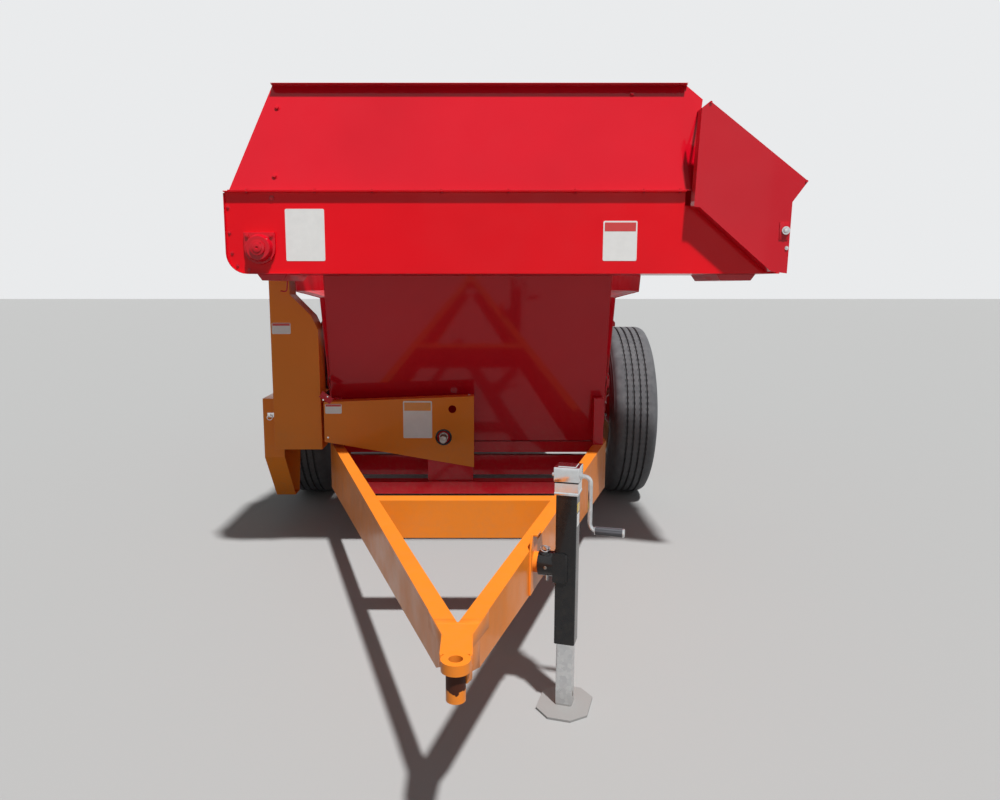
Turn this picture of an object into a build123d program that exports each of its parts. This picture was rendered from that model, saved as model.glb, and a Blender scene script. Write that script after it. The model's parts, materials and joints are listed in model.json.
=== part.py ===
from build123d import *
from math import atan2, cos, degrees, hypot, pi, sin
import os

# A towed feed wagon with a floor apron, a front elevator and a cross conveyor that
# unloads to one side. Millimetres. +X is the unloading side, +Y the rear, +Z up.
# Heights are above the ground, widths are from the centreline and lengths are
# behind the hitch pin.

os.makedirs("parts", exist_ok=True)

# Sheet and joints
sheet = 4
gap = 0.3
plate = 6

# Wheels and axle
axle_y = 3300
tyre_r = 525
tyre_w = 280
wheel_x = 970
rim_r = 286
rim_wall = 9
rim_w = 214
rim_lip = 12
hub_r = 58
hub_flange_r = 112
spindle_r = 32
axle_side = 100

# Tongue
tongue_top = 506
nose_half = 35
nose_y = 120
frame_half = 720
frame_y = 2360
tongue_flange = 50
nose_depth = 110
frame_depth = 250
tail_y = 2850
tail_depth = 90
crossbar_y = 1236
crossbar_w = 64
crossbar_h = 149
collar_r = 33
collar_h = 25
bush_r = 22
bush_bottom = 412
pin_r = 16

# Jack
jack_y = 720
jack_reach = 76
jack_side = 63.5
jack_wall = 6
jack_low = 213
jack_high = 685
head_h = 83
head_side = 70
leg_side = 50.8
foot_w = 160
foot_l = 200
foot_t = 8
foot_chamfer = 45
pivot_z = 458
pivot_r = 32
socket_wall = 6
crank_z = 740
crank_r = 7
crank_arm = 165
crank_out = 32
crank_bend = 18
grip_l = 90
grip_r = 13

# Underframe
sill_top = 660
sill_w = 80
sill_x = 700
box_rear_y = 5410
rear_rib_out = 30
rear_rib_z = 1100
rear_crossmember_inset = 290
crossmember_w = 70
crossmember_h = 46

# Feed box
wall_top_z = 1355
wall_top_y = 2190
side_low_x = 700
side_mid_x = 720
side_mid_z = 1250
side_out_x = 830
side_out_z = 1280
side_top_x = 860
side_top_z = 1650
rail_w = 40
rail_h = 65
rib_z = 1100
rib_h = 60
rib_out = 34
shield_r = 580
shield_x = 775

# Cross conveyor trough
trough_front_y = 1680
trough_left_x = -995
trough_right_x = 1310
trough_end_z = 1632
hood_low_z = 1690
hood_flange = 20
corner_r = 85
fascia_end_x = 905

# Hood
hood_top_y = 1836
hood_top_z = 2145
hood_left_low = trough_left_x + 18
hood_left_top = -820
hood_right_low = fascia_end_x + 20
hood_corner_x = 998
hood_corner_z = 2082
hood_right_top = 930
hood_side_z = 2046
hood_rear_y = 2850
hood_rear_z = 2000
hood_post_y = hood_rear_y - 150
hood_post_top = hood_rear_z - 10
post_w = 60
post_out = 46

# Shafts and slat chains
shaft_r = 20
chain_r = 50
chain_t = 10
chain_w = 16
teeth = 8
slat_t = 6
chain_gap = 5
slat_h = 10
slat_w = 40
floor_pitch = 240
lift_pitch = 150
cross_pitch = 200
apron_z = 655
apron_front_y = 2640
rear_shaft_inset = 120
apron_rear_y = box_rear_y - rear_shaft_inset
lift_low = (2480, 805)
lift_high = (2330, 1785)
cross_left_x = -855
cross_right_x = 1245
head_bearing_r = 52
cross_z = 1459
slat_half = 640
apron_half = 612
bearing_side = 130
bearing_t = 14
bearing_r = 48
bearing_h = 44
bearing_corner = 22
bearing_cap_r = 40
bearing_cap_h = 20

# Discharge deflector
chute_front_y = 1620
chute_rear_y = 2216
chute_pivot = (1301, 1527)
chute_pin_r = 10
cheek_rim = 54

# Guards and drive
guard_y = wall_top_y + sheet
guard_depth = 136
guard_out_x = 966
guard_in_x = frame_half + 9
guard_neck_x = side_top_x + 6
guard_foot_z = 494
drive_guard_y = 2170
drive_guard_depth = 76
drive_left = 8 - frame_half
drive_right = 31
input_x = -120
input_z = 561
guard_hole_z = 702
input_r = 17.46
input_free = 76
journal_r = 22
side_guard_x = 1062
side_guard_front = 2344
side_guard_rear = 2718
hinge_gap = 6
knuckle_r = 8

# The part's origin is on the ground under the middle of the whole wagon
overall_left = wheel_x + tyre_w / 2
overall_right = 1382
centre_x = -(overall_right - overall_left) / 2
hitch_y = -(box_rear_y + rear_rib_out - collar_r) / 2


def level(z):
    # Plane seen from above: X to the right, Y to the rear
    return Plane(origin=(centre_x, hitch_y, z), x_dir=(1, 0, 0), z_dir=(0, 0, 1))


def across(y):
    # Plane seen from the front: X to the right, Z up; it faces the hitch
    return Plane(origin=(centre_x, hitch_y + y, 0), x_dir=(1, 0, 0), z_dir=(0, -1, 0))


def along(x):
    # Plane seen from the unloading side: Y to the right, Z up; it faces +X
    return Plane(origin=(centre_x + x, hitch_y, 0), x_dir=(0, 1, 0), z_dir=(1, 0, 0))


def folded(points, thickness):
    # Closed outline of a folded sheet: one face follows the points, the other is to its left
    normals = []
    for (x0, y0), (x1, y1) in zip(points, points[1:]):
        run = hypot(x1 - x0, y1 - y0)
        normals.append((-(y1 - y0) / run, (x1 - x0) / run))
    other = []
    for i, (x, y) in enumerate(points):
        before = normals[max(i - 1, 0)]
        after = normals[min(i, len(normals) - 1)]
        scale = thickness / (1 + before[0] * after[0] + before[1] * after[1])
        other.append((x + (before[0] + after[0]) * scale, y + (before[1] + after[1]) * scale))
    return list(points) + other[::-1]


def outline(points):
    # Closed polygon with its points where they are, for use inside a sketch
    Polygon(*points, align=None)


def outline_cut(points):
    # Closed polygon that is cut out of the sketch
    Polygon(*points, align=None, mode=Mode.SUBTRACT)


def save(part, name):
    part.part.label = name
    export_step(part.part, f"parts/{name}.step")


def line_at(value, low, high):
    # Straight line through two (position, value) pairs
    return low[1] + (high[1] - low[1]) * (value - low[0]) / (high[0] - low[0])


apron_ends = ((apron_front_y, apron_z), (apron_rear_y, apron_z))
centre_plane = Plane(origin=(centre_x, 0, 0), x_dir=(0, 1, 0), z_dir=(1, 0, 0))
sides = ((-1, "left"), (1, "right"))


# Tongue beams: channels that open inwards and get deeper towards the box
tongue_run = hypot(frame_half - nose_half, frame_y - nose_y)
tongue_sin = (frame_half - nose_half) / tongue_run
tongue_cos = (frame_y - nose_y) / tongue_run
flange_across = tongue_flange / tongue_cos
beam_start_y = nose_y + (flange_across - nose_half) * tongue_cos / tongue_sin


def tongue_half(y):
    # Half width over the outer faces of the beams
    return line_at(y, (nose_y, nose_half), (frame_y, frame_half))


def tongue_bottom(y):
    return tongue_top - line_at(y, (nose_y, nose_depth), (frame_y, frame_depth))


def beam_plane(y, out):
    # Upright plane on the outer face of the right beam: to the rear, up, and outwards
    origin = (centre_x + tongue_half(y) + out * tongue_cos, hitch_y + y - out * tongue_sin, 0)
    return Plane(origin=origin, x_dir=(tongue_sin, tongue_cos, 0), z_dir=(tongue_cos, -tongue_sin, 0))


beam_length = (frame_y - beam_start_y) / tongue_cos
start_bottom = tongue_bottom(beam_start_y)
end_bottom = tongue_top - frame_depth
with BuildPart() as tongue_beam_right:
    with BuildSketch(beam_plane(beam_start_y, 0)):
        outline([(0, start_bottom), (beam_length, end_bottom), (beam_length, tongue_top), (0, tongue_top)])
    extrude(amount=-tongue_flange)
    with BuildSketch(along(frame_half)):
        outline([(frame_y, end_bottom), (tail_y, tongue_top - tail_depth), (tail_y, tongue_top), (frame_y, tongue_top)])
    extrude(amount=-tongue_flange)
    with BuildSketch(beam_plane(beam_start_y, -plate)):
        outline([
            (0, start_bottom + plate),
            (beam_length, end_bottom + plate),
            (beam_length + tongue_flange, end_bottom + plate),
            (beam_length + tongue_flange, tongue_top - plate),
            (0, tongue_top - plate),
        ])
    extrude(amount=-tongue_flange, mode=Mode.SUBTRACT)
    with BuildSketch(along(frame_half - plate)):
        outline([
            (frame_y, end_bottom + plate),
            (tail_y + plate, tongue_top - tail_depth + plate),
            (tail_y + plate, tongue_top - plate),
            (frame_y, tongue_top - plate),
        ])
    extrude(amount=-tongue_flange - plate, mode=Mode.SUBTRACT)
save(tongue_beam_right, "tongue_beam_right")
with BuildPart() as tongue_beam_left:
    mirror(tongue_beam_right.part, about=centre_plane)
save(tongue_beam_left, "tongue_beam_left")

# Orange crossbar between the beams
with BuildPart() as tongue_crossbar:
    rear_y = crossbar_y + crossbar_w
    web_in = plate / tongue_cos
    with BuildSketch(level(tongue_top - crossbar_h)):
        front_x = tongue_half(crossbar_y) - web_in
        rear_x = tongue_half(rear_y) - web_in
        outline([(-front_x, crossbar_y), (front_x, crossbar_y), (rear_x, rear_y), (-rear_x, rear_y)])
    extrude(amount=crossbar_h - plate)
    with BuildSketch(level(tongue_top - plate)):
        front_x = tongue_half(crossbar_y) - flange_across
        rear_x = tongue_half(rear_y) - flange_across
        outline([(-front_x, crossbar_y), (front_x, crossbar_y), (rear_x, rear_y), (-rear_x, rear_y)])
    extrude(amount=plate)
    with BuildSketch(across(rear_y)):
        with Locations((0, tongue_top - crossbar_h / 2)):
            Rectangle(2 * frame_half, crossbar_h - 2 * plate)
    extrude(amount=crossbar_w - plate, mode=Mode.SUBTRACT)
save(tongue_crossbar, "tongue_crossbar")

# Nose: a neck as wide as the beams' meeting, with the hitch collar and bush
neck_depth = 0.6 * nose_depth
with BuildPart() as hitch_nose:
    with BuildSketch(level(tongue_top - neck_depth)):
        outline([
            (-nose_half, bush_r),
            (nose_half, bush_r),
            (nose_half, nose_y),
            (flange_across, beam_start_y),
            (-flange_across, beam_start_y),
            (-nose_half, nose_y),
        ])
    extrude(amount=neck_depth)
    with BuildSketch(level(tongue_top - collar_h)):
        Circle(collar_r)
    extrude(amount=collar_h)
    with BuildSketch(level(bush_bottom)):
        Circle(bush_r)
    extrude(amount=tongue_top - bush_bottom)
    with BuildSketch(level(bush_bottom)):
        Circle(pin_r)
    extrude(amount=tongue_top - bush_bottom, mode=Mode.SUBTRACT)
save(hitch_nose, "hitch_nose")

# Jack mount: a plate on the beam's web with a stub for the jack's socket
mount_w = 96
mount_top = 552
mount_lip = 14
stub_l = jack_reach - 14
with BuildPart() as jack_mount:
    with BuildSketch(beam_plane(jack_y, 0)):
        outline([
            (-mount_w / 2, tongue_bottom(jack_y) + plate),
            (mount_w / 2, tongue_bottom(jack_y) + plate),
            (mount_w / 2, tongue_top),
            (mount_w / 4, mount_top),
            (-mount_w / 4, mount_top),
            (-mount_w / 2, tongue_top),
        ])
    extrude(amount=plate)
    with BuildSketch(beam_plane(jack_y, plate)):
        with Locations((0, mount_top - plate / 2)):
            Rectangle(mount_w / 2, plate)
    extrude(amount=mount_lip)
    with BuildSketch(beam_plane(jack_y, plate)):
        with Locations((0, pivot_z)):
            Circle(pivot_r)
            Circle(pivot_r - plate, mode=Mode.SUBTRACT)
    extrude(amount=stub_l)
save(jack_mount, "jack_mount")

jack_centre = jack_reach + jack_side / 2


def jack_level(z):
    # Level plane on the jack's axis, turned with the beam
    base = beam_plane(jack_y, jack_centre)
    return Plane(origin=(base.origin.X, base.origin.Y, z), x_dir=base.x_dir, z_dir=(0, 0, 1))


socket_in = plate + mount_lip + 2
with BuildPart() as jack_tube:
    with BuildSketch(jack_level(jack_low)):
        RectangleRounded(jack_side, jack_side, 6)
        Rectangle(jack_side - 2 * jack_wall, jack_side - 2 * jack_wall, mode=Mode.SUBTRACT)
    extrude(amount=jack_high - jack_low)
    with BuildSketch(beam_plane(jack_y, socket_in)):
        with Locations((0, pivot_z)):
            Circle(pivot_r + gap + socket_wall)
            Circle(pivot_r + gap, mode=Mode.SUBTRACT)
    extrude(amount=jack_reach - plate - socket_in)
    with BuildSketch(beam_plane(jack_y, jack_reach - plate)):
        with Locations((0, pivot_z)):
            Rectangle(jack_side + 2 * plate, 92)
    extrude(amount=plate)
    with BuildSketch(beam_plane(jack_y, jack_reach)):
        with Locations((-jack_side / 2 - plate / 2, pivot_z), (jack_side / 2 + plate / 2, pivot_z)):
            Rectangle(plate, 92)
    extrude(amount=jack_side / 2)
save(jack_tube, "jack_tube")

with BuildPart() as jack_head:
    with BuildSketch(jack_level(jack_high)):
        Rectangle(head_side, head_side)
    extrude(amount=head_h)
    chamfer(jack_head.edges().group_by(Axis.Z)[-1], length=8)
    with BuildSketch(jack_level(jack_high)):
        Rectangle(head_side - 2 * jack_wall, head_side - 2 * jack_wall)
    extrude(amount=crank_z - jack_high - 30, mode=Mode.SUBTRACT)
    with BuildSketch(beam_plane(jack_y, jack_centre)):
        with Locations((0, crank_z)):
            Circle(crank_r + gap)
    extrude(amount=head_side, mode=Mode.SUBTRACT)
save(jack_head, "jack_head")

leg_top = jack_low + 267
with BuildPart() as jack_leg:
    with BuildSketch(jack_level(0)):
        Rectangle(foot_l, foot_w)
        chamfer(vertices(), length=foot_chamfer)
    extrude(amount=foot_t)
    with BuildSketch(jack_level(foot_t)):
        RectangleRounded(leg_side, leg_side, 5)
        Rectangle(leg_side - 2 * jack_wall, leg_side - 2 * jack_wall, mode=Mode.SUBTRACT)
    extrude(amount=leg_top - foot_t)
save(jack_leg, "jack_leg")

crank_start = jack_centre + 6
crank_face = jack_centre + head_side / 2 + crank_out
with BuildPart() as jack_crank:
    with BuildLine(Plane.XY):
        start = beam_plane(jack_y, crank_start).from_local_coords((0, crank_z, 0))
        bend = beam_plane(jack_y, crank_face).from_local_coords((0, crank_z, 0))
        low = beam_plane(jack_y, crank_face).from_local_coords((0, crank_z - crank_arm, 0))
        tip = beam_plane(jack_y, crank_face + grip_l).from_local_coords((0, crank_z - crank_arm, 0))
        FilletPolyline(start, bend, low, tip, radius=crank_bend)
    with BuildSketch(beam_plane(jack_y, crank_start)):
        with Locations((0, crank_z)):
            Circle(crank_r)
    sweep()
    with BuildSketch(beam_plane(jack_y, crank_face + 3 * crank_r)):
        with Locations((0, crank_z - crank_arm)):
            Circle(grip_r)
    extrude(amount=grip_l)
save(jack_crank, "jack_crank")

# Sills: channels on the tongue's tails, notched over the axle
axle_z = tyre_r
axle_half = axle_side / 2
for side, hand in sides:
    with BuildPart() as sill:
        with BuildSketch(across(box_rear_y)):
            with Locations((side * (sill_x - sill_w / 2), (sill_top + tongue_top) / 2)):
                Rectangle(sill_w, sill_top - tongue_top)
            with Locations((side * (sill_x - sill_w / 2 - plate), (sill_top + tongue_top) / 2)):
                Rectangle(sill_w, sill_top - tongue_top - 2 * plate, mode=Mode.SUBTRACT)
        extrude(amount=box_rear_y - frame_y)
        with BuildSketch(across(axle_y + axle_half)):
            with Locations((side * sill_x, axle_z)):
                Rectangle(4 * sill_w, axle_side)
        extrude(amount=axle_side, mode=Mode.SUBTRACT)
        with BuildSketch(along(side * (sill_x - 2 * sill_w))):
            with Locations(*apron_ends):
                Circle(shaft_r + gap)
        extrude(amount=side * 4 * sill_w, mode=Mode.SUBTRACT)
    save(sill, f"sill_{hand}")

# Crossmembers under the floor, all between the sills' webs
crossmember_ys = (2480, 2960, 3480, 4050, 4650, box_rear_y - rear_crossmember_inset)
with BuildPart() as underframe_crossmembers:
    for y in crossmember_ys:
        with BuildSketch(across(y + crossmember_w / 2)):
            with Locations((0, sill_top - plate - crossmember_h / 2)):
                Rectangle(2 * (sill_x - plate), crossmember_h)
        extrude(amount=crossmember_w)
        with BuildSketch(across(y + crossmember_w / 2)):
            with Locations((0, sill_top - plate - crossmember_h / 2)):
                Rectangle(2 * (sill_x - plate), crossmember_h - 2 * plate)
        extrude(amount=crossmember_w - plate, mode=Mode.SUBTRACT)
save(underframe_crossmembers, "underframe_crossmembers")

# Red crossmembers that tie the tongue's tails: y, bottom, top, width
tie_rows = ((frame_y + 8, 442, 500, 60), (frame_y + 80, 304, 410, 40))
with BuildPart() as front_crossmembers:
    for y, bottom, top, width in tie_rows:
        with BuildSketch(across(y + width)):
            with Locations((0, (bottom + top) / 2)):
                Rectangle(2 * (frame_half - plate), top - bottom)
        extrude(amount=width)
save(front_crossmembers, "front_crossmembers")

# Lower crossbar between the beams, with the drive post on it
low_bar_y = 2150
low_bar_w = 80
low_bar_z = 277
low_bar_h = 60
with BuildPart() as lower_crossbar:
    with BuildSketch(level(low_bar_z)):
        front_x = tongue_half(low_bar_y) - web_in
        rear_x = tongue_half(low_bar_y + low_bar_w) - web_in
        outline([
            (-front_x, low_bar_y),
            (front_x, low_bar_y),
            (rear_x, low_bar_y + low_bar_w),
            (-rear_x, low_bar_y + low_bar_w),
        ])
    extrude(amount=low_bar_h)
save(lower_crossbar, "lower_crossbar")

post_left = -200
post_right = 27
post_y = 2180
post_t = 50
post_top = 650
with BuildPart() as drive_post:
    with BuildSketch(across(post_y + post_t)):
        outline([
            (post_left, low_bar_z + low_bar_h),
            (post_right, low_bar_z + low_bar_h),
            (post_right, post_top),
            (post_left, post_top),
        ])
    extrude(amount=post_t)
    with BuildSketch(across(post_y + post_t)):
        outline([
            (post_left + plate, low_bar_z + low_bar_h),
            (post_right - plate, low_bar_z + low_bar_h),
            (post_right - plate, post_top - plate),
            (post_left + plate, post_top - plate),
        ])
    extrude(amount=post_t - 2 * plate, mode=Mode.SUBTRACT)
    with BuildSketch(across(post_y + post_t)):
        with Locations((input_x, input_z)):
            Circle(journal_r + gap + 20)
    extrude(amount=post_t)
    with BuildSketch(across(post_y + post_t)):
        with Locations((input_x, input_z)):
            Circle(journal_r + gap)
    extrude(amount=post_t, mode=Mode.SUBTRACT)
save(drive_post, "drive_post")

# Power input stub
journal_rear_y = post_y + post_t + 24
with BuildPart() as input_shaft:
    with BuildSketch(across(journal_rear_y)):
        with Locations((input_x, input_z)):
            Circle(journal_r)
    extrude(amount=journal_rear_y - post_y)
    with BuildSketch(across(post_y)):
        with Locations((input_x, input_z)):
            Circle(input_r)
    extrude(amount=input_free)
save(input_shaft, "input_shaft")

# Corner posts on the tongue beams in front of the box
corner_y = 2250
corner_t = 54
corner_top = 745
with BuildPart() as corner_posts:
    for side, hand in sides:
        with BuildSketch(level(tongue_top)):
            outer = tongue_half(corner_y)
            outline([
                (side * (outer - tongue_flange), corner_y),
                (side * outer, corner_y),
                (side * outer, corner_y + corner_t),
                (side * (outer - tongue_flange), corner_y + corner_t),
            ])
        extrude(amount=corner_top - tongue_top)
save(corner_posts, "corner_posts")

# Axle beam with its spindles
hub_out = 82
hub_in = 96
spindle_end = wheel_x + hub_out - 24
with BuildPart() as axle:
    with BuildSketch(along(0)):
        with Locations((axle_y, axle_z)):
            Rectangle(axle_side, axle_side)
    extrude(amount=wheel_x - hub_in - 30, both=True)
    with BuildSketch(along(0)):
        with Locations((axle_y, axle_z)):
            Circle(spindle_r)
    extrude(amount=spindle_end, both=True)
save(axle, "axle")

# Wheels: tyre, dished disc rim and hub, turned about the axle
crown_half = 88
bead_half = rim_w / 2 - 3
bead_r = rim_r + gap
sidewall = tyre_r - bead_r
# Outer half of the tyre's section from the crown to the bead: distance out, radius
tyre_half = [
    (crown_half, tyre_r),
    (crown_half + 27, tyre_r - 10),
    (crown_half + 40, tyre_r - 40),
    (tyre_w / 2, bead_r + sidewall * 0.46),
    (bead_half, bead_r + rim_lip + 2),
    (bead_half, bead_r),
]
spin = Axis((centre_x, hitch_y + axle_y, axle_z), (1, 0, 0))
for side, hand in sides:
    tyre_line = [(-out, radius) for out, radius in tyre_half[::-1]] + tyre_half
    with BuildPart() as tyre:
        with BuildSketch(across(axle_y)):
            outline([(side * (wheel_x + out), axle_z + radius) for out, radius in tyre_line])
        revolve(axis=spin)
    save(tyre, f"tyre_{hand}")

    # Section of the rim, outwards from the wheel's middle: distance out, radius
    bead_out = rim_w / 2
    bowl_r = rim_r - 18
    disc_out = -40
    dish = [
        (-bead_out, rim_r + rim_lip),
        (-bead_out, rim_r),
        (bead_out, rim_r),
        (bead_out, rim_r + rim_lip),
        (bead_out + 5, rim_r + rim_lip),
        (bead_out + 5, rim_r - rim_wall),
        (disc_out + 26, bowl_r),
        (disc_out, bowl_r - 50),
        (disc_out, hub_r + gap),
        (disc_out - rim_wall, hub_r + gap),
        (disc_out - rim_wall, bowl_r - 46),
        (disc_out + 12, bowl_r),
        (-bead_out - 5, rim_r - rim_wall),
        (-bead_out - 5, rim_r + rim_lip),
    ]
    with BuildPart() as rim:
        with BuildSketch(across(axle_y)):
            outline([(side * (wheel_x + out), axle_z + radius) for out, radius in dish])
        revolve(axis=spin)
    save(rim, f"rim_{hand}")

    hub_line = [
        (-hub_in, spindle_r + gap),
        (-hub_in, hub_r + 12),
        (-66, hub_flange_r),
        (disc_out - rim_wall, hub_flange_r),
        (disc_out - rim_wall, hub_r),
        (hub_out - 22, hub_r - 8),
        (hub_out, hub_r - 26),
        (hub_out, 0),
        (hub_out - 20, 0),
        (hub_out - 20, spindle_r + gap),
    ]
    with BuildPart() as hub:
        with BuildSketch(across(axle_y)):
            outline([(side * (wheel_x + out), axle_z + radius) for out, radius in hub_line])
        revolve(axis=spin)
    save(hub, f"hub_{hand}")


# Feed box
def wall_front(z):
    # Front face of the leaning front wall
    return line_at(z, (tongue_top, frame_y), (wall_top_z, wall_top_y))


wall_t = sheet / cos(atan2(frame_y - wall_top_y, wall_top_z - tongue_top))
with BuildPart() as box_front_wall:
    with BuildSketch(along(-side_low_x)):
        outline([
            (wall_front(tongue_top), tongue_top),
            (wall_front(wall_top_z), wall_top_z),
            (wall_front(wall_top_z) + wall_t, wall_top_z),
            (wall_front(tongue_top) + wall_t, tongue_top),
        ])
    extrude(amount=2 * side_low_x)
    with BuildSketch(across(box_rear_y)):
        for side, hand in sides:
            with Locations((side * sill_x, (sill_top + tongue_top) / 2)):
                Rectangle(2 * sill_w, sill_top - tongue_top)
    extrude(amount=box_rear_y - frame_y, mode=Mode.SUBTRACT)
save(box_front_wall, "box_front_wall")

# Side sheets: inner face of the right side from the sill up to the rail
rail_x = side_top_x + rail_w
side_line = [
    (side_low_x, sill_top - 60),
    (side_low_x, sill_top + sheet),
    (side_mid_x, side_mid_z),
    (side_out_x, side_out_z),
    (side_top_x, side_top_z),
    (rail_x, side_top_z),
    (rail_x, side_top_z + rail_h),
    (rail_x - 30, side_top_z + rail_h),
]
for side, hand in sides:
    with BuildPart() as box_side:
        with BuildSketch(across(box_rear_y)):
            outline([(side * x, z) for x, z in folded(side_line[::-1], sheet)])
        extrude(amount=box_rear_y - wall_top_y - sheet)
        with BuildSketch(across(box_rear_y)):
            rib_x = line_at(rib_z, (sill_top + sheet, side_low_x), (side_mid_z, side_mid_x)) + 3
            outline([
                (side * rib_x, rib_z),
                (side * (rib_x + rib_out), rib_z),
                (side * (rib_x + rib_out), rib_z + rib_h / 3),
                (side * rib_x, rib_z + rib_h),
            ])
        extrude(amount=box_rear_y - frame_y)
        with BuildSketch(along(side * side_low_x)):
            outline([
                (wall_top_y - 1, tongue_top),
                (frame_y, tongue_top),
                (wall_top_y, wall_top_z),
                (wall_top_y - 1, wall_top_z),
            ])
        extrude(amount=3 * rib_out, both=True, mode=Mode.SUBTRACT)
        with BuildSketch(along(side * (side_low_x + 2))):
            with Locations((axle_y, axle_z)):
                Circle(shield_r)
            with Locations((axle_y, sill_top - 60 - shield_r)):
                Rectangle(3 * shield_r, 2 * shield_r, mode=Mode.SUBTRACT)
        extrude(amount=side * (shield_x - side_low_x - 2))
        with BuildSketch(along(side * (side_low_x - 40))):
            with Locations((axle_y, axle_z)):
                Circle(shield_r - sheet)
            with Locations((axle_y, sill_top - 60 - shield_r)):
                Rectangle(3 * shield_r, 2 * shield_r, mode=Mode.SUBTRACT)
        extrude(amount=side * (shield_x - sheet - side_low_x + 40), mode=Mode.SUBTRACT)
        with BuildSketch(along(side * (side_low_x - 40))):
            with Locations(*apron_ends, lift_low):
                Circle(shaft_r + gap)
        extrude(amount=side * 100, mode=Mode.SUBTRACT)
    save(box_side, f"box_side_{hand}")

with BuildPart() as box_rear_wall:
    with BuildSketch(across(box_rear_y)):
        outline([
            (-side_low_x + gap, sill_top + sheet),
            (side_low_x - gap, sill_top + sheet),
            (side_mid_x - gap, side_mid_z),
            (side_out_x - gap, side_out_z),
            (side_top_x - gap, side_top_z),
            (-side_top_x + gap, side_top_z),
            (-side_out_x + gap, side_out_z),
            (-side_mid_x + gap, side_mid_z),
        ])
    extrude(amount=sheet)
    with BuildSketch(across(box_rear_y)):
        with Locations((0, side_top_z - 20), (0, rear_rib_z)):
            Rectangle(2 * side_low_x - 20, 40)
    extrude(amount=-rear_rib_out)
save(box_rear_wall, "box_rear_wall")

# Floor: a sheet between the apron's shafts and a boot sheet under the elevator
with BuildPart() as box_floor:
    with BuildSketch(level(sill_top)):
        floor_front = wall_front(sill_top) + wall_t + gap
        boot_rear = apron_front_y - chain_r - chain_t - slat_h - 10
        outline([
            (-side_low_x + gap, floor_front),
            (side_low_x - gap, floor_front),
            (side_low_x - gap, boot_rear),
            (-side_low_x + gap, boot_rear),
        ])
        outline([
            (-side_low_x + gap, apron_front_y + 80),
            (side_low_x - gap, apron_front_y + 80),
            (side_low_x - gap, apron_rear_y - 80),
            (-side_low_x + gap, apron_rear_y - 80),
        ])
    extrude(amount=sheet)
save(box_floor, "box_floor")


# Slat chains: two chains round a pair of shafts, with slats across them
def loop_rows(first, last, pitch):
    # Places of the slats and their outward directions: along both runs and at each end
    run = hypot(last[0] - first[0], last[1] - first[1])
    turn = atan2(last[1] - first[1], last[0] - first[0])
    count = int(run / pitch)
    rows = [(last, turn), (first, turn + pi)]
    for i in range(count):
        reach = (i + 0.5) * run / count
        base = (first[0] + reach * cos(turn), first[1] + reach * sin(turn))
        rows.append((base, turn - pi / 2))
        rows.append((base, turn + pi / 2))
    return rows


def loop_outline(first, last, inradius):
    # Outline of a chain that bends at its pins round two eight-sided sprockets
    turn = atan2(last[1] - first[1], last[0] - first[0])
    corner = pi / teeth
    points = []
    for centre, start in ((last, turn), (first, turn + pi)):
        for step in (-3, -1, 1, 3):
            angle = start + step * corner
            reach = inradius / cos(corner)
            points.append((centre[0] + reach * cos(angle), centre[1] + reach * sin(angle)))
    return points


def slat_chain(plane, first, last, half, chain_at, pitch):
    # Sketch plane through the middle, shaft centres, half length of the slats
    with BuildPart() as chain:
        for at in (-chain_at, chain_at):
            with BuildSketch(plane.offset(at - chain_w / 2)):
                outline(loop_outline(first, last, chain_r + chain_t))
                outline_cut(loop_outline(first, last, chain_r))
            extrude(amount=chain_w)
        with BuildSketch(plane.offset(-half)):
            for base, angle in loop_rows(first, last, pitch):
                reach = chain_r + chain_t - 1
                at = (base[0] + reach * cos(angle), base[1] + reach * sin(angle))
                with Locations(Location(at, degrees(angle))):
                    outline(slat_line)
        extrude(amount=2 * half)
    return chain


def chain_shafts(plane, centres, half, chain_at, far_half=None, turn=0):
    # Shafts with a sprocket under each chain; they run from -half to the other end
    other = half if far_half is None else far_half
    with BuildPart() as shafts:
        for at in centres:
            with BuildSketch(plane.offset(-other)):
                with Locations(at):
                    Circle(shaft_r)
            extrude(amount=half + other)
            for place in (-chain_at, chain_at):
                with BuildSketch(plane.offset(place - chain_w / 2)):
                    with Locations(Location(at, degrees(turn + pi / teeth))):
                        RegularPolygon((chain_r - gap) / cos(pi / teeth), teeth)
                extrude(amount=chain_w)
    return shafts


def side_face(z):
    # Outer face of a side sheet at the top of a bearing centred at height z
    return line_at(z + side_bearing_w / 2, side_low, side_mid) + sheet + gap


side_low = (sill_top + sheet, side_low_x)
side_mid = (side_mid_z, side_mid_x)
side_bearing_w = 110

# Section of a slat: a flat bar with its trailing edge turned up
slat_line = [
    (0, -slat_w / 2),
    (slat_h + 1, -slat_w / 2),
    (slat_h + 1, slat_t - slat_w / 2),
    (slat_t, slat_t - slat_w / 2),
    (slat_t, slat_w / 2),
    (0, slat_w / 2),
]
chain_at = slat_half - 60
save(slat_chain(along(0), *apron_ends, apron_half, chain_at, floor_pitch), "floor_apron")
save(chain_shafts(along(0), apron_ends, side_face(apron_z), chain_at), "apron_shafts")
lift_turn = atan2(lift_high[1] - lift_low[1], lift_high[0] - lift_low[0])
save(slat_chain(along(0), lift_low, lift_high, slat_half, chain_at, lift_pitch), "elevator_apron")
save(chain_shafts(along(0), (lift_low,), side_face(lift_low[1]), chain_at, turn=lift_turn), "elevator_tail_shaft")
save(chain_shafts(along(0), (lift_high,), side_out_x + sheet, chain_at, turn=lift_turn), "elevator_head_shaft")

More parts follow.
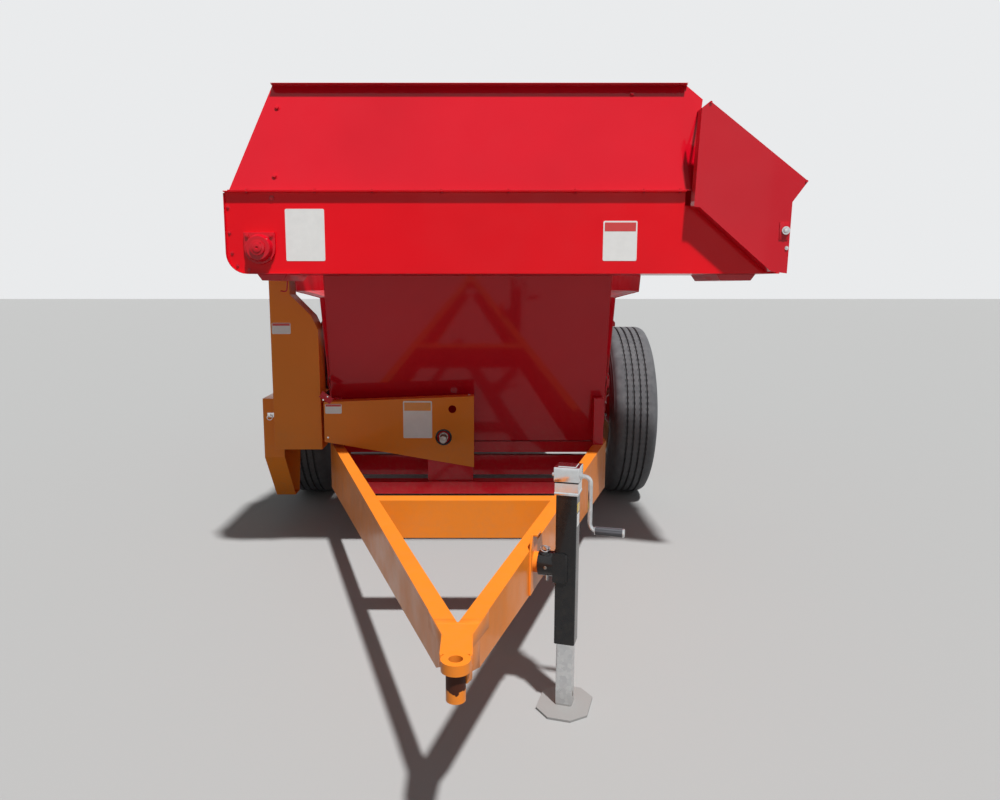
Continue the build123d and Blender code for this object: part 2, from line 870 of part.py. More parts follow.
# Cross conveyor trough
trough_rear_y = wall_top_y
trough_mid_y = (trough_front_y + sheet + trough_rear_y) / 2
cross_ends = ((cross_left_x, cross_z), (cross_right_x, cross_z))
cross_half = (trough_rear_y - trough_front_y - sheet) / 2 - 2 * chain_gap
save(slat_chain(across(trough_mid_y), *cross_ends, cross_half, cross_half - 30, cross_pitch), "cross_conveyor")
front_reach = trough_mid_y - trough_front_y + bearing_h + 4
rear_reach = trough_rear_y + sheet - trough_mid_y
save(chain_shafts(across(trough_mid_y), cross_ends, front_reach, cross_half - 30, rear_reach), "conveyor_shafts")

with BuildPart() as trough_front:
    with BuildSketch(along(trough_left_x)):
        outline(folded([
            (trough_front_y + sheet, wall_top_z),
            (trough_front_y + sheet, hood_low_z),
            (trough_front_y - hood_flange, hood_low_z),
        ], sheet))
    extrude(amount=trough_right_x - trough_left_x)
    with BuildSketch(across(trough_rear_y)):
        with BuildLine():
            Polyline(
                (trough_left_x + corner_r, wall_top_z),
                (trough_right_x, wall_top_z),
                (trough_right_x, trough_end_z),
                (fascia_end_x, trough_end_z),
                (fascia_end_x, hood_low_z),
                (trough_left_x, hood_low_z),
                (trough_left_x, wall_top_z + corner_r),
            )
            RadiusArc(
                (trough_left_x, wall_top_z + corner_r),
                (trough_left_x + corner_r, wall_top_z),
                -corner_r,
            )
        make_face()
    extrude(amount=600, mode=Mode.INTERSECT)
    with BuildSketch(across(trough_front_y + sheet)):
        with Locations(*cross_ends):
            Circle(shaft_r + gap)
    extrude(amount=sheet, mode=Mode.SUBTRACT)
save(trough_front, "trough_front")

with BuildPart() as trough_back:
    with BuildSketch(across(trough_rear_y + sheet)):
        with BuildLine():
            Polyline(
                (trough_left_x + corner_r, wall_top_z),
                (trough_right_x, wall_top_z),
                (trough_right_x, trough_end_z),
                (side_out_x, hood_low_z),
                (trough_left_x, hood_low_z),
                (trough_left_x, wall_top_z + corner_r),
            )
            RadiusArc(
                (trough_left_x, wall_top_z + corner_r),
                (trough_left_x + corner_r, wall_top_z),
                -corner_r,
            )
        make_face()
        with Locations(*cross_ends):
            Circle(shaft_r + gap, mode=Mode.SUBTRACT)
    extrude(amount=sheet)
save(trough_back, "trough_back")

# Floor of the trough, bent up round the left end
floor_front_y = trough_front_y + sheet
with BuildPart() as trough_floor:
    with BuildSketch(across(trough_rear_y)):
        with BuildLine():
            Polyline(
                (trough_right_x - 20, wall_top_z),
                (trough_right_x - 20, wall_top_z + sheet),
                (trough_left_x + corner_r, wall_top_z + sheet),
            )
            RadiusArc(
                (trough_left_x + corner_r, wall_top_z + sheet),
                (trough_left_x + sheet, wall_top_z + corner_r),
                corner_r - sheet,
            )
            Polyline(
                (trough_left_x + sheet, wall_top_z + corner_r),
                (trough_left_x + sheet, trough_end_z),
                (trough_left_x, trough_end_z),
                (trough_left_x, wall_top_z + corner_r),
            )
            RadiusArc(
                (trough_left_x, wall_top_z + corner_r),
                (trough_left_x + corner_r, wall_top_z),
                -corner_r,
            )
            Line((trough_left_x + corner_r, wall_top_z), (trough_right_x - 20, wall_top_z))
        make_face()
    extrude(amount=trough_rear_y - floor_front_y)
save(trough_floor, "trough_floor")

# Hangers under the trough ends: left and right edge of each
hanger_rows = (
    (trough_left_x + 105, trough_left_x + 235),
    (trough_right_x - 245, trough_right_x - 77),
)
with BuildPart() as trough_hangers:
    for low_x, high_x in hanger_rows:
        with BuildSketch(across(trough_rear_y - 60)):
            outline([
                (low_x, wall_top_z),
                (high_x, wall_top_z),
                (high_x - 20, wall_top_z - 28),
                (low_x + 20, wall_top_z - 28),
            ])
        extrude(amount=trough_rear_y - trough_front_y - 120)
save(trough_hangers, "trough_hangers")

# Hood front sheet: leans back between two flanges, the lower one on the trough's flange
hood_line = [
    (trough_front_y - hood_flange, hood_low_z),
    (trough_front_y + sheet, hood_low_z),
    (hood_top_y + sheet, hood_top_z),
    (hood_top_y - hood_flange, hood_top_z),
]
with BuildPart() as hood_front:
    with BuildSketch(along(hood_left_low)):
        outline(folded(hood_line, sheet))
    extrude(amount=hood_corner_x - hood_left_low)
    with BuildSketch(across(hood_rear_y)):
        outline([
            (hood_left_low, hood_low_z),
            (hood_right_low, hood_low_z),
            (hood_corner_x, hood_corner_z),
            (hood_right_top, hood_top_z),
            (hood_left_top, hood_top_z),
        ])
    extrude(amount=hood_rear_y - trough_front_y + 100, mode=Mode.INTERSECT)
save(hood_front, "hood_front")


def hood_rear_face(z):
    return line_at(z, (hood_low_z, trough_front_y + sheet), (hood_top_z, hood_top_y + sheet)) + 2


# Sloping left end of the hood
with BuildPart() as hood_end:
    with BuildSketch(across(trough_rear_y)):
        outline(folded([(hood_left_low + sheet, hood_low_z), (-side_out_x - 6, hood_side_z - 10)], sheet))
    extrude(amount=trough_rear_y - trough_front_y)
    with BuildSketch(along(hood_left_low - 20)):
        outline([
            (hood_rear_face(hood_low_z), hood_low_z),
            (hood_rear_face(hood_side_z), hood_side_z),
            (trough_rear_y, hood_side_z),
            (trough_rear_y, hood_low_z),
        ])
    extrude(amount=400, mode=Mode.INTERSECT)
save(hood_end, "hood_end")

# Hood sides with their posts; the left one starts behind the sloping end
side_foot_z = side_top_z + rail_h + sheet
for side, hand in sides:
    with BuildPart() as hood_side:
        with BuildSketch(along(side * side_out_x)):
            if side < 0:
                front = [(trough_rear_y + 2, hood_low_z + 2), (trough_rear_y + 2, hood_side_z)]
            else:
                front = [
                    (hood_rear_face(hood_low_z), hood_low_z + 2),
                    (hood_rear_face(hood_side_z), hood_side_z),
                ]
            outline(front + [
                (hood_rear_y, hood_rear_z),
                (hood_rear_y, side_top_z - 10),
                (trough_rear_y + sheet + 2, side_top_z - 10),
                (trough_rear_y + sheet + 2, hood_low_z + 2),
            ])
            with Locations(lift_high):
                Circle(shaft_r + gap, mode=Mode.SUBTRACT)
        extrude(amount=side * sheet)
        for y in (trough_rear_y + sheet + 10, hood_post_y):
            with BuildSketch(level(side_foot_z)):
                with Locations((side * (side_out_x + sheet + post_out / 2 - 1), y + post_w / 2)):
                    Rectangle(post_out, post_w)
            extrude(amount=hood_post_top - side_foot_z)
    save(hood_side, f"hood_side_{hand}")

# Discharge deflector: two cheeks and a sloping top
cheek = [
    (975, 2030),
    (1382, 1722),
    (1323, 1640),
    (1317, 1355),
    (1251, 1363),
    (949, 1619),
    (925, 1622),
    (941, 2004),
]
with BuildPart() as chute_deflector:
    for y in (chute_front_y + sheet, chute_rear_y):
        with BuildSketch(across(y)):
            outline(cheek)
            with Locations(chute_pivot):
                Circle(chute_pin_r + gap, mode=Mode.SUBTRACT)
        extrude(amount=sheet)
    with BuildSketch(across(chute_front_y + cheek_rim)):
        outline(folded(cheek[7:3:-1], sheet))
    extrude(amount=cheek_rim)
    with BuildSketch(across(chute_rear_y)):
        top_end_x = hood_corner_x + hinge_gap
        outline(folded([cheek[1], (top_end_x, line_at(top_end_x, cheek[0], cheek[1]))], sheet))
    extrude(amount=chute_rear_y - chute_front_y)
save(chute_deflector, "chute_deflector")

# Pivot bolts of the deflector, one on each trough wall
with BuildPart() as chute_pivots:
    with BuildSketch(across(trough_front_y)):
        with Locations(chute_pivot):
            Circle(chute_pin_r)
    extrude(amount=trough_front_y - chute_front_y + 8)
    with BuildSketch(across(trough_rear_y + sheet)):
        with Locations(chute_pivot):
            Circle(chute_pin_r)
    extrude(amount=-(chute_rear_y - trough_rear_y + 8))
save(chute_pivots, "chute_pivots")

# Flange bearings on the front of the trough, and closed ones on the box sides
with BuildPart() as trough_bearings:
    with BuildSketch(across(trough_front_y)):
        with Locations((cross_left_x, cross_z + bearing_side / 4)):
            Rectangle(bearing_side, bearing_side / 2)
        with Locations(cross_ends[0]):
            Circle(bearing_side / 2)
            Circle(shaft_r + gap, mode=Mode.SUBTRACT)
    extrude(amount=bearing_t)
    with BuildSketch(across(trough_front_y - bearing_t)):
        with Locations(cross_ends[0]):
            Circle(bearing_r + 8)
            Circle(shaft_r + gap, mode=Mode.SUBTRACT)
    extrude(amount=bearing_h - bearing_t, taper=12)
    with BuildSketch(across(trough_front_y)):
        with Locations(cross_ends[1]):
            Circle(head_bearing_r)
            Circle(shaft_r + gap, mode=Mode.SUBTRACT)
    extrude(amount=bearing_t)
save(trough_bearings, "trough_bearings")

takeup_half = 66
takeup_front = 70
takeup_w = 30


side_bearing_rows = (
    (apron_ends[1], side_face(apron_z)),
    (apron_ends[0], side_face(apron_z)),
    (lift_low, side_face(lift_low[1])),
    (lift_high, side_out_x + sheet),
)
with BuildPart() as side_bearings:
    for (y, z), x in side_bearing_rows:
        for side, hand in sides:
            with BuildSketch(along(side * x)):
                with Locations((y, z)):
                    Rectangle(side_bearing_w, side_bearing_w)
                chamfer(vertices(), length=bearing_corner)
            extrude(amount=side * bearing_t)
            with BuildSketch(along(side * (x + bearing_t))):
                with Locations((y, z)):
                    Circle(bearing_cap_r)
            extrude(amount=side * bearing_cap_h)
    # Take-up frames round the rear bearings: two rails and an end plate with its screw
    for side, hand in sides:
        with BuildSketch(along(side * side_face(apron_z + takeup_half))):
            outline([
                (apron_rear_y - takeup_front, apron_z - takeup_half),
                (box_rear_y + rear_rib_out, apron_z - takeup_half),
                (box_rear_y + rear_rib_out, apron_z + takeup_half),
                (apron_rear_y - takeup_front, apron_z + takeup_half),
                (apron_rear_y - takeup_front, apron_z + side_bearing_w / 2 + gap),
                (box_rear_y + rear_rib_out - plate, apron_z + side_bearing_w / 2 + gap),
                (box_rear_y + rear_rib_out - plate, apron_z - side_bearing_w / 2 - gap),
                (apron_rear_y - takeup_front, apron_z - side_bearing_w / 2 - gap),
            ])
        extrude(amount=side * takeup_w)
        with BuildSketch(across(box_rear_y + rear_rib_out - plate)):
            with Locations((side * (side_face(apron_z) + takeup_w / 2), apron_z)):
                Rectangle(2 * plate, 2 * plate)
        extrude(amount=box_rear_y + rear_rib_out - plate - apron_rear_y - side_bearing_w / 2)
save(side_bearings, "side_bearings")

# Chain guards in front of the box
with BuildPart() as vertical_guard:
    guard_line = [
        (-guard_out_x, guard_foot_z),
        (-guard_in_x, guard_foot_z),
        (-guard_in_x - 4, 1090),
        (-guard_in_x - 36, 1160),
        (-guard_neck_x, 1264),
        (-guard_neck_x, 1600),
        (-guard_out_x, 1600),
    ]
    with BuildSketch(across(guard_y + guard_depth)):
        outline(guard_line)
    extrude(amount=guard_depth)
    with BuildSketch(across(guard_y + guard_depth)):
        outline(guard_line)
        offset(amount=-sheet, kind=Kind.INTERSECTION, mode=Mode.REPLACE)
    extrude(amount=guard_depth - sheet, mode=Mode.SUBTRACT)
save(vertical_guard, "vertical_guard")

with BuildPart() as drive_guard:
    drive_line = [
        (drive_left, 537),
        (drive_right, 408),
        (drive_right, 767),
        (drive_left, 737),
    ]
    with BuildSketch(across(drive_guard_y + drive_guard_depth)):
        outline(drive_line)
    extrude(amount=drive_guard_depth)
    with BuildSketch(across(drive_guard_y + drive_guard_depth)):
        outline([
            (drive_left + sheet, drive_line[0][1] - 2 * post_t),
            (drive_right - sheet, drive_line[1][1] - post_t),
            (drive_right - sheet, drive_line[2][1] - sheet),
            (drive_left + sheet, drive_line[3][1] - sheet),
        ])
    extrude(amount=drive_guard_depth - sheet, mode=Mode.SUBTRACT)
    with BuildSketch(across(drive_guard_y + sheet)):
        with Locations((input_x, input_z)):
            Circle(34)
        with Locations((input_x + 44, guard_hole_z)):
            Circle(19.5)
    extrude(amount=sheet, mode=Mode.SUBTRACT)
save(drive_guard, "drive_guard")

# Side guard: a hinged cover on the outer left
guard_top = 730
guard_low = 162
guard_cut = 420
guard_in = 104
hinge_x = -side_guard_x - hinge_gap
hinge_y = side_guard_rear + hinge_gap
side_guard_line = [
    (side_guard_front, guard_cut),
    (side_guard_front + 206, guard_low),
    (side_guard_rear - 74, guard_low),
    (side_guard_rear, guard_cut + 60),
    (side_guard_rear, guard_top),
    (side_guard_front, guard_top),
]
shield_inner = -side_mid_x - 2 * rib_out
knuckle_rows = ((520, 556), (604, 640))
arm_low = 560
arm_high = 600
with BuildPart() as side_guard:
    with BuildSketch(along(-side_guard_x)):
        outline(side_guard_line)
    extrude(amount=guard_in)
    with BuildSketch(along(-side_guard_x + sheet)):
        outline(side_guard_line)
        offset(amount=-sheet, kind=Kind.INTERSECTION, mode=Mode.REPLACE)
    extrude(amount=guard_in, mode=Mode.SUBTRACT)
    # Wide top sheet that reaches in towards the box
    with BuildSketch(level(guard_top - sheet)):
        outline([
            (guard_in - side_guard_x - sheet, side_guard_front),
            (guard_in - side_guard_x, side_guard_front),
            (shield_inner, side_guard_front + 200),
            (shield_inner, side_guard_rear),
            (guard_in - side_guard_x - sheet, side_guard_rear),
        ])
    extrude(amount=sheet)
    for low, high in knuckle_rows:
        with BuildSketch(level(low)):
            outline([
                (hinge_x, hinge_y - knuckle_r),
                (hinge_x + hinge_gap + 2, hinge_y - hinge_gap - 10),
                (hinge_x + hinge_gap + 2, hinge_y - hinge_gap),
                (hinge_x, hinge_y),
            ])
            with Locations((hinge_x, hinge_y)):
                Circle(knuckle_r)
                Circle(4 + gap, mode=Mode.SUBTRACT)
        extrude(amount=high - low)
save(side_guard, "side_guard")

with BuildPart() as side_guard_bracket:
    with BuildSketch(level(arm_low)):
        outline([
            (hinge_x, hinge_y),
            (hinge_x, hinge_y + knuckle_r),
            (-sill_x, hinge_y + knuckle_r),
            (-sill_x, hinge_y),
        ])
        with Locations((hinge_x, hinge_y)):
            Circle(knuckle_r)
    extrude(amount=arm_high - arm_low)
    with BuildSketch(level(knuckle_rows[0][0])):
        with Locations((hinge_x, hinge_y)):
            Circle(4)
    extrude(amount=knuckle_rows[1][1] - knuckle_rows[0][0])
save(side_guard_bracket, "side_guard_bracket")
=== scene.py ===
import bpy
import bmesh
import json
from math import atan2, cos, hypot, pi, radians, sin
from mathutils import Matrix, Vector


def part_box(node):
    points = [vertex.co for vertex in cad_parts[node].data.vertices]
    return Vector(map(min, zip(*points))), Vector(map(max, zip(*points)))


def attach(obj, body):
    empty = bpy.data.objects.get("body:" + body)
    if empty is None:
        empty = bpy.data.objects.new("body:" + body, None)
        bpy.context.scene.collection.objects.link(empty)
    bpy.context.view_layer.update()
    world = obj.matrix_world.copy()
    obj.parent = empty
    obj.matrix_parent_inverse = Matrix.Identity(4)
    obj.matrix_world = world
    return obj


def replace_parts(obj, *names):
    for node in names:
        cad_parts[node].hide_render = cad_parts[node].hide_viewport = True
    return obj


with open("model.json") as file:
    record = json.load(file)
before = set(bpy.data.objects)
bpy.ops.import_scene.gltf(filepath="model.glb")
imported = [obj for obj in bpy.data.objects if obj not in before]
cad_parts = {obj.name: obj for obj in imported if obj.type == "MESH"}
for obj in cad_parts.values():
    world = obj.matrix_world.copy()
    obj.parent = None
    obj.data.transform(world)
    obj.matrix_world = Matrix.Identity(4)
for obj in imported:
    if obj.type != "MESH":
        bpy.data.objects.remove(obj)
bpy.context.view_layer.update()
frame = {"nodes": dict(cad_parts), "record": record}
print("frame loaded")

# The wagon's own frame: width from the centreline, length behind the hitch pin, height above the ground
hitch = {"collarRadius": 0.033}
noseLow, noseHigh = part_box("hitch_nose")
centreX = (noseLow.x + noseHigh.x) / 2
pinY = noseLow.y + hitch["collarRadius"]


def at(across, back, up):
    return Vector((centreX + across, pinY + back, up))


# Materials


def startMaterial(name):
    material = bpy.data.materials.new(name)
    material.use_nodes = True
    nodes = material.node_tree.nodes
    links = material.node_tree.links
    shader = nodes["Principled BSDF"]
    coordinates = nodes.new("ShaderNodeTexCoord")
    return material, nodes, links, shader, coordinates.outputs["Object"]


def noiseNode(nodes, links, place, scale, detail=2.0, roughness=0.5):
    noise = nodes.new("ShaderNodeTexNoise")
    noise.inputs["Scale"].default_value = scale
    noise.inputs["Detail"].default_value = detail
    noise.inputs["Roughness"].default_value = roughness
    links.new(place, noise.inputs["Vector"])
    return noise.outputs["Fac"]


def rampNode(nodes, links, value, stops):
    ramp = nodes.new("ShaderNodeValToRGB")
    ramp.color_ramp.elements[0].position = stops[0][0]
    ramp.color_ramp.elements[0].color = (*stops[0][1], 1)
    ramp.color_ramp.elements[1].position = stops[1][0]
    ramp.color_ramp.elements[1].color = (*stops[1][1], 1)
    for position, colour in stops[2:]:
        ramp.color_ramp.elements.new(position).color = (*colour, 1)
    links.new(value, ramp.inputs["Fac"])
    return ramp.outputs["Color"]


def mixNode(nodes, links, factor, first, second):
    mix = nodes.new("ShaderNodeMix")
    mix.data_type = "RGBA"
    links.new(factor, mix.inputs["Factor"])
    for socket, value in ((mix.inputs["A"], first), (mix.inputs["B"], second)):
        if isinstance(value, tuple):
            socket.default_value = (*value, 1)
        else:
            links.new(value, socket)
    return mix.outputs["Result"]


def mapNode(nodes, links, value, fromMin, fromMax, toMin, toMax):
    spread = nodes.new("ShaderNodeMapRange")
    spread.inputs["From Min"].default_value = fromMin
    spread.inputs["From Max"].default_value = fromMax
    spread.inputs["To Min"].default_value = toMin
    spread.inputs["To Max"].default_value = toMax
    links.new(value, spread.inputs["Value"])
    return spread.outputs["Result"]


def mathNode(nodes, links, operation, first, second):
    node = nodes.new("ShaderNodeMath")
    node.operation = operation
    for socket, value in ((node.inputs[0], first), (node.inputs[1], second)):
        if isinstance(value, (int, float)):
            socket.default_value = value
        else:
            links.new(value, socket)
    return node.outputs["Value"]


def bumpNode(nodes, links, height, strength, distance, normal=None):
    bump = nodes.new("ShaderNodeBump")
    bump.inputs["Strength"].default_value = strength
    bump.inputs["Distance"].default_value = distance
    links.new(height, bump.inputs["Height"])
    if normal is not None:
        links.new(normal, bump.inputs["Normal"])
    return bump.outputs["Normal"]


enamel = {
    "peelScale": 420.0,
    "peelDepth": 0.0003,
    "waveScale": 3.2,
    "waveDepth": 0.0005,
    "dustTop": 0.75,
    "dustColour": (0.30, 0.24, 0.16),
    "dust": 0.22,
}


def enamelMaterial(name, colour, roughness=0.36, coat=0.3, dust=1.0, shine=0.35):
    material, nodes, links, shader, place = startMaterial(name)
    patches = noiseNode(nodes, links, place, 1.7, 3.0)
    shade = rampNode(nodes, links, patches, [
        (0.25, tuple(c * 0.90 for c in colour)),
        (0.75, tuple(min(1, c * 1.06) for c in colour)),
    ])
    height = nodes.new("ShaderNodeSeparateXYZ")
    links.new(place, height.inputs["Vector"])
    low = mapNode(nodes, links, height.outputs["Z"], 0.1, enamel["dustTop"], 1.0, 0.0)
    specks = mapNode(nodes, links, noiseNode(nodes, links, place, 38.0, 5.0, 0.7), 0.45, 0.75, 0.0, 1.0)
    settled = mathNode(nodes, links, "MULTIPLY", low, specks)
    settled = mathNode(nodes, links, "MULTIPLY", settled, enamel["dust"] * dust)
    dusty = mixNode(nodes, links, settled, shade, enamel["dustColour"])
    links.new(dusty, shader.inputs["Base Color"])
    smears = noiseNode(nodes, links, place, 9.0, 4.0)
    gloss = mapNode(nodes, links, smears, 0.3, 0.7, roughness * 0.8, roughness * 1.25)
    links.new(gloss, shader.inputs["Roughness"])
    shader.inputs["Specular IOR Level"].default_value = shine
    shader.inputs["Coat Weight"].default_value = coat
    shader.inputs["Coat Roughness"].default_value = 0.06
    waves = noiseNode(nodes, links, place, enamel["waveScale"], 0.0)
    wave = bumpNode(nodes, links, waves, 0.35, enamel["waveDepth"])
    peels = noiseNode(nodes, links, place, enamel["peelScale"], 0.0)
    peel = bumpNode(nodes, links, peels, 0.05, enamel["peelDepth"], wave)
    links.new(peel, shader.inputs["Normal"])
    return material


def metalMaterial(name, light, dark, scale, roughness, stain=None):
    material, nodes, links, shader, place = startMaterial(name)
    spangle = nodes.new("ShaderNodeTexVoronoi")
    spangle.inputs["Scale"].default_value = scale
    links.new(place, spangle.inputs["Vector"])
    tone = nodes.new("ShaderNodeSeparateColor")
    links.new(spangle.outputs["Color"], tone.inputs["Color"])
    colour = rampNode(nodes, links, tone.outputs["Red"], [(0.0, dark), (1.0, light)])
    if stain is not None:
        patches = mapNode(nodes, links, noiseNode(nodes, links, place, 16.0, 6.0, 0.7), 0.5, 0.68, 0.0, 0.85)
        colour = mixNode(nodes, links, patches, colour, stain)
    links.new(colour, shader.inputs["Base Color"])
    streaks = noiseNode(nodes, links, place, 60.0, 4.0)
    gloss = mapNode(nodes, links, streaks, 0.3, 0.7, roughness * 0.7, roughness * 1.3)
    links.new(gloss, shader.inputs["Roughness"])
    shader.inputs["Metallic"].default_value = 1.0
    links.new(bumpNode(nodes, links, streaks, 0.15, 0.0004), shader.inputs["Normal"])
    return material


def rubberMaterial():
    material, nodes, links, shader, place = startMaterial("tyreRubber")
    mottle = noiseNode(nodes, links, place, 22.0, 5.0, 0.65)
    colour = rampNode(nodes, links, mottle, [(0.3, (0.080, 0.082, 0.087)), (0.75, (0.155, 0.157, 0.162))])
    links.new(colour, shader.inputs["Base Color"])
    links.new(mapNode(nodes, links, mottle, 0.3, 0.7, 0.55, 0.85), shader.inputs["Roughness"])
    grain = noiseNode(nodes, links, place, 500.0, 2.0)
    links.new(bumpNode(nodes, links, grain, 0.2, 0.0006), shader.inputs["Normal"])
    return material


def plateMaterial(name, colour):
    material, nodes, links, shader, place = startMaterial(name)
    fade = noiseNode(nodes, links, place, 30.0, 3.0)
    shade = rampNode(nodes, links, fade, [(0.3, tuple(c * 0.94 for c in colour)), (0.7, colour)])
    links.new(shade, shader.inputs["Base Color"])
    shader.inputs["Roughness"].default_value = 0.32
    shader.inputs["Coat Weight"].default_value = 0.4
    return material


redEnamel = enamelMaterial("redEnamel", (0.60, 0.002, 0.014), coat=0.45, shine=0.15)
# Brighter copy of the red paint, used only on the trough's front plate: painted light, so the fascia shows
# lighter than the hood in the same paint
litFasciaRed = enamelMaterial("litFasciaRed", (0.80, 0.002, 0.010), coat=0.15, shine=0.15)
orangeEnamel = enamelMaterial("orangeEnamel", (0.85, 0.240, 0.022), coat=0.12, shine=0.20)
creamEnamel = enamelMaterial("creamEnamel", (0.80, 0.67, 0.38), roughness=0.35, coat=0.5)
blackEnamel = enamelMaterial("blackEnamel", (0.010, 0.010, 0.011), roughness=0.25, dust=0.3, shine=0.25)
zincPlate = metalMaterial("zincPlate", (0.74, 0.75, 0.75), (0.62, 0.63, 0.64), 90.0, 0.36)
smoothZinc = metalMaterial("smoothZinc", (0.82, 0.83, 0.84), (0.77, 0.78, 0.79), 90.0, 0.17)
rustColour = (0.16, 0.07, 0.035)
bareSteel = metalMaterial("bareSteel", (0.42, 0.40, 0.38), (0.25, 0.23, 0.21), 90.0, 0.42, stain=rustColour)
tyreRubber = rubberMaterial()
# Dirt on the jack's foot; the dark band under the collar on the hitch's bush is painted shadow
dirtAndShade = {
    "footTop": 0.013,
    "footColour": (0.36, 0.35, 0.34),
    "bushRadius": 0.027,
    "bushShadowLow": 0.436,
    "bushShadowHigh": 0.480,
    "bushShadowColour": (0.060, 0.018, 0.010),
}


def dirtAndShadePlaces(material, inside, colour, roughness):  # darker colour, duller gloss and no coat where the mask is one: dirt on the jack's foot, painted shadow on the bush
    nodes = material.node_tree.nodes
    links = material.node_tree.links
    shader = nodes["Principled BSDF"]
    before = shader.inputs["Base Color"].links[0].from_socket
    links.new(mixNode(nodes, links, inside, before, colour), shader.inputs["Base Color"])
    glossBefore = shader.inputs["Roughness"].links[0].from_socket
    dull = mathNode(nodes, links, "MULTIPLY", inside, roughness)
    links.new(mathNode(nodes, links, "MAXIMUM", glossBefore, dull), shader.inputs["Roughness"])
    away = mapNode(nodes, links, inside, 0.0, 1.0, shader.inputs["Coat Weight"].default_value, 0.0)
    links.new(away, shader.inputs["Coat Weight"])


def footMaterial():
    material = metalMaterial("wornFoot", (0.74, 0.75, 0.75), (0.62, 0.63, 0.64), 90.0, 0.36)
    nodes = material.node_tree.nodes
    links = material.node_tree.links
    height = nodes.new("ShaderNodeSeparateXYZ")
    place = nodes["Texture Coordinate"].outputs["Object"]
    links.new(place, height.inputs["Vector"])
    low = mapNode(nodes, links, height.outputs["Z"], dirtAndShade["footTop"], dirtAndShade["footTop"] + 0.002, 1.0, 0.0)
    dirtAndShadePlaces(material, low, dirtAndShade["footColour"], 0.8)
    metal = mapNode(nodes, links, low, 0.0, 1.0, 1.0, 0.25)
    links.new(metal, nodes["Principled BSDF"].inputs["Metallic"])
    return material


def bushMaterial():  # painted shadow of the collar: a dark band round the hitch pin just under the collar, with a ragged lower edge
    material = enamelMaterial("bushPaintedShadow", (0.85, 0.240, 0.022), coat=0.12, shine=0.20)
    nodes = material.node_tree.nodes
    links = material.node_tree.links
    place = nodes["Texture Coordinate"].outputs["Object"]
    parts = nodes.new("ShaderNodeSeparateXYZ")
    links.new(place, parts.inputs["Vector"])
    outX = mathNode(nodes, links, "SUBTRACT", parts.outputs["X"], centreX)
    outY = mathNode(nodes, links, "SUBTRACT", parts.outputs["Y"], pinY)
    squares = mathNode(nodes, links, "ADD", mathNode(nodes, links, "MULTIPLY", outX, outX),
                       mathNode(nodes, links, "MULTIPLY", outY, outY))
    radius = mathNode(nodes, links, "POWER", squares, 0.5)
    # Ragged lower edge of the painted collar shadow
    ragged = mapNode(nodes, links, noiseNode(nodes, links, place, 55.0, 3.0), 0.3, 0.7, -0.010, 0.010)
    edge = mathNode(nodes, links, "ADD", parts.outputs["Z"], ragged)
    near = mapNode(nodes, links, radius, dirtAndShade["bushRadius"], dirtAndShade["bushRadius"] + 0.001, 1.0, 0.0)
    above = mapNode(nodes, links, edge, dirtAndShade["bushShadowLow"], dirtAndShade["bushShadowLow"] + 0.001, 0.0, 1.0)
    below = mapNode(nodes, links, parts.outputs["Z"], dirtAndShade["bushShadowHigh"], dirtAndShade["bushShadowHigh"] + 0.001, 1.0, 0.0)
    band = mathNode(nodes, links, "MULTIPLY", above, below)
    dirtAndShadePlaces(material, mathNode(nodes, links, "MULTIPLY", near, band), dirtAndShade["bushShadowColour"], 0.6)
    return material


wornFoot = footMaterial()
bushPaintedShadow = bushMaterial()
whitePlate = plateMaterial("whitePlate", (0.80, 0.80, 0.78))
orangePlate = plateMaterial("orangePlate", (0.80, 0.30, 0.04))
finishes = {
    "red_paint": redEnamel,
    "orange_paint": orangeEnamel,
    "cream_paint": creamEnamel,
    "black_paint": blackEnamel,
    "zinc_plate": zincPlate,
    "bare_steel": bareSteel,
    "tyre_rubber": tyreRubber,
}
slotOf = {}
for name, node in frame["nodes"].items():
    for holder in node.material_slots:
        slotOf[name] = holder.material.name.split(".")[0]
        holder.material = finishes[slotOf[name]]
frame["nodes"]["jack_head"].material_slots[0].material = smoothZinc
bodyOf = {name: body for body, names in frame["record"]["behaviour"]["bodies"].items() for name in names}
print("materials made")

# Ways of working


def deselectAll():
    if bpy.context.object and bpy.context.object.mode != "OBJECT":
        bpy.ops.object.mode_set(mode="OBJECT")
    bpy.ops.object.select_all(action="DESELECT")


def pick(piece):
    deselectAll()
    piece.select_set(True)
    bpy.context.view_layer.objects.active = piece


def settle(piece):  # the piece's place goes into its mesh
    pick(piece)
    bpy.ops.object.transform_apply(location=True, rotation=True, scale=True)


def editAll(piece):  # edit mode, with everything selected
    pick(piece)
    bpy.ops.object.mode_set(mode="EDIT")
    bpy.ops.mesh.select_all(action="SELECT")


def leaveEdit():
    bpy.ops.object.mode_set(mode="OBJECT")


def applyModifiers(piece):
    pick(piece)
    for modifier in list(piece.modifiers):
        bpy.ops.object.modifier_apply(modifier=modifier.name)


def bevelEdges(piece, width, steps, angle=None):
    edge = piece.modifiers.new("edge", "BEVEL")
    edge.width = width
    edge.segments = steps
    if angle is not None:
        edge.limit_method = "ANGLE"
        edge.angle_limit = radians(angle)
    applyModifiers(piece)


def copyAt(piece, matrix):
    twin = piece.copy()
    twin.data = piece.data.copy()
    bpy.context.scene.collection.objects.link(twin)
    twin.data.transform(matrix)
    return twin


def joinAs(pieces, name):
    deselectAll()
    for piece in pieces:
        piece.select_set(True)
    bpy.context.view_layer.objects.active = pieces[0]
    if len(pieces) > 1:
        bpy.ops.object.join()
    pieces[0].name = name
    return pieces[0]


def finishPiece(piece, name, body, slot, angle=35):
    editAll(piece)
    bpy.ops.mesh.normals_make_consistent(inside=False)
    leaveEdit()
    bpy.ops.object.shade_smooth_by_angle(angle=radians(angle))
    if not piece.data.materials:
        piece.data.materials.append(finishes[slot])
    piece.name = name
    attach(piece, body)
    return piece


# Sheet metal and castings: copies of the frame's nodes with softened edges

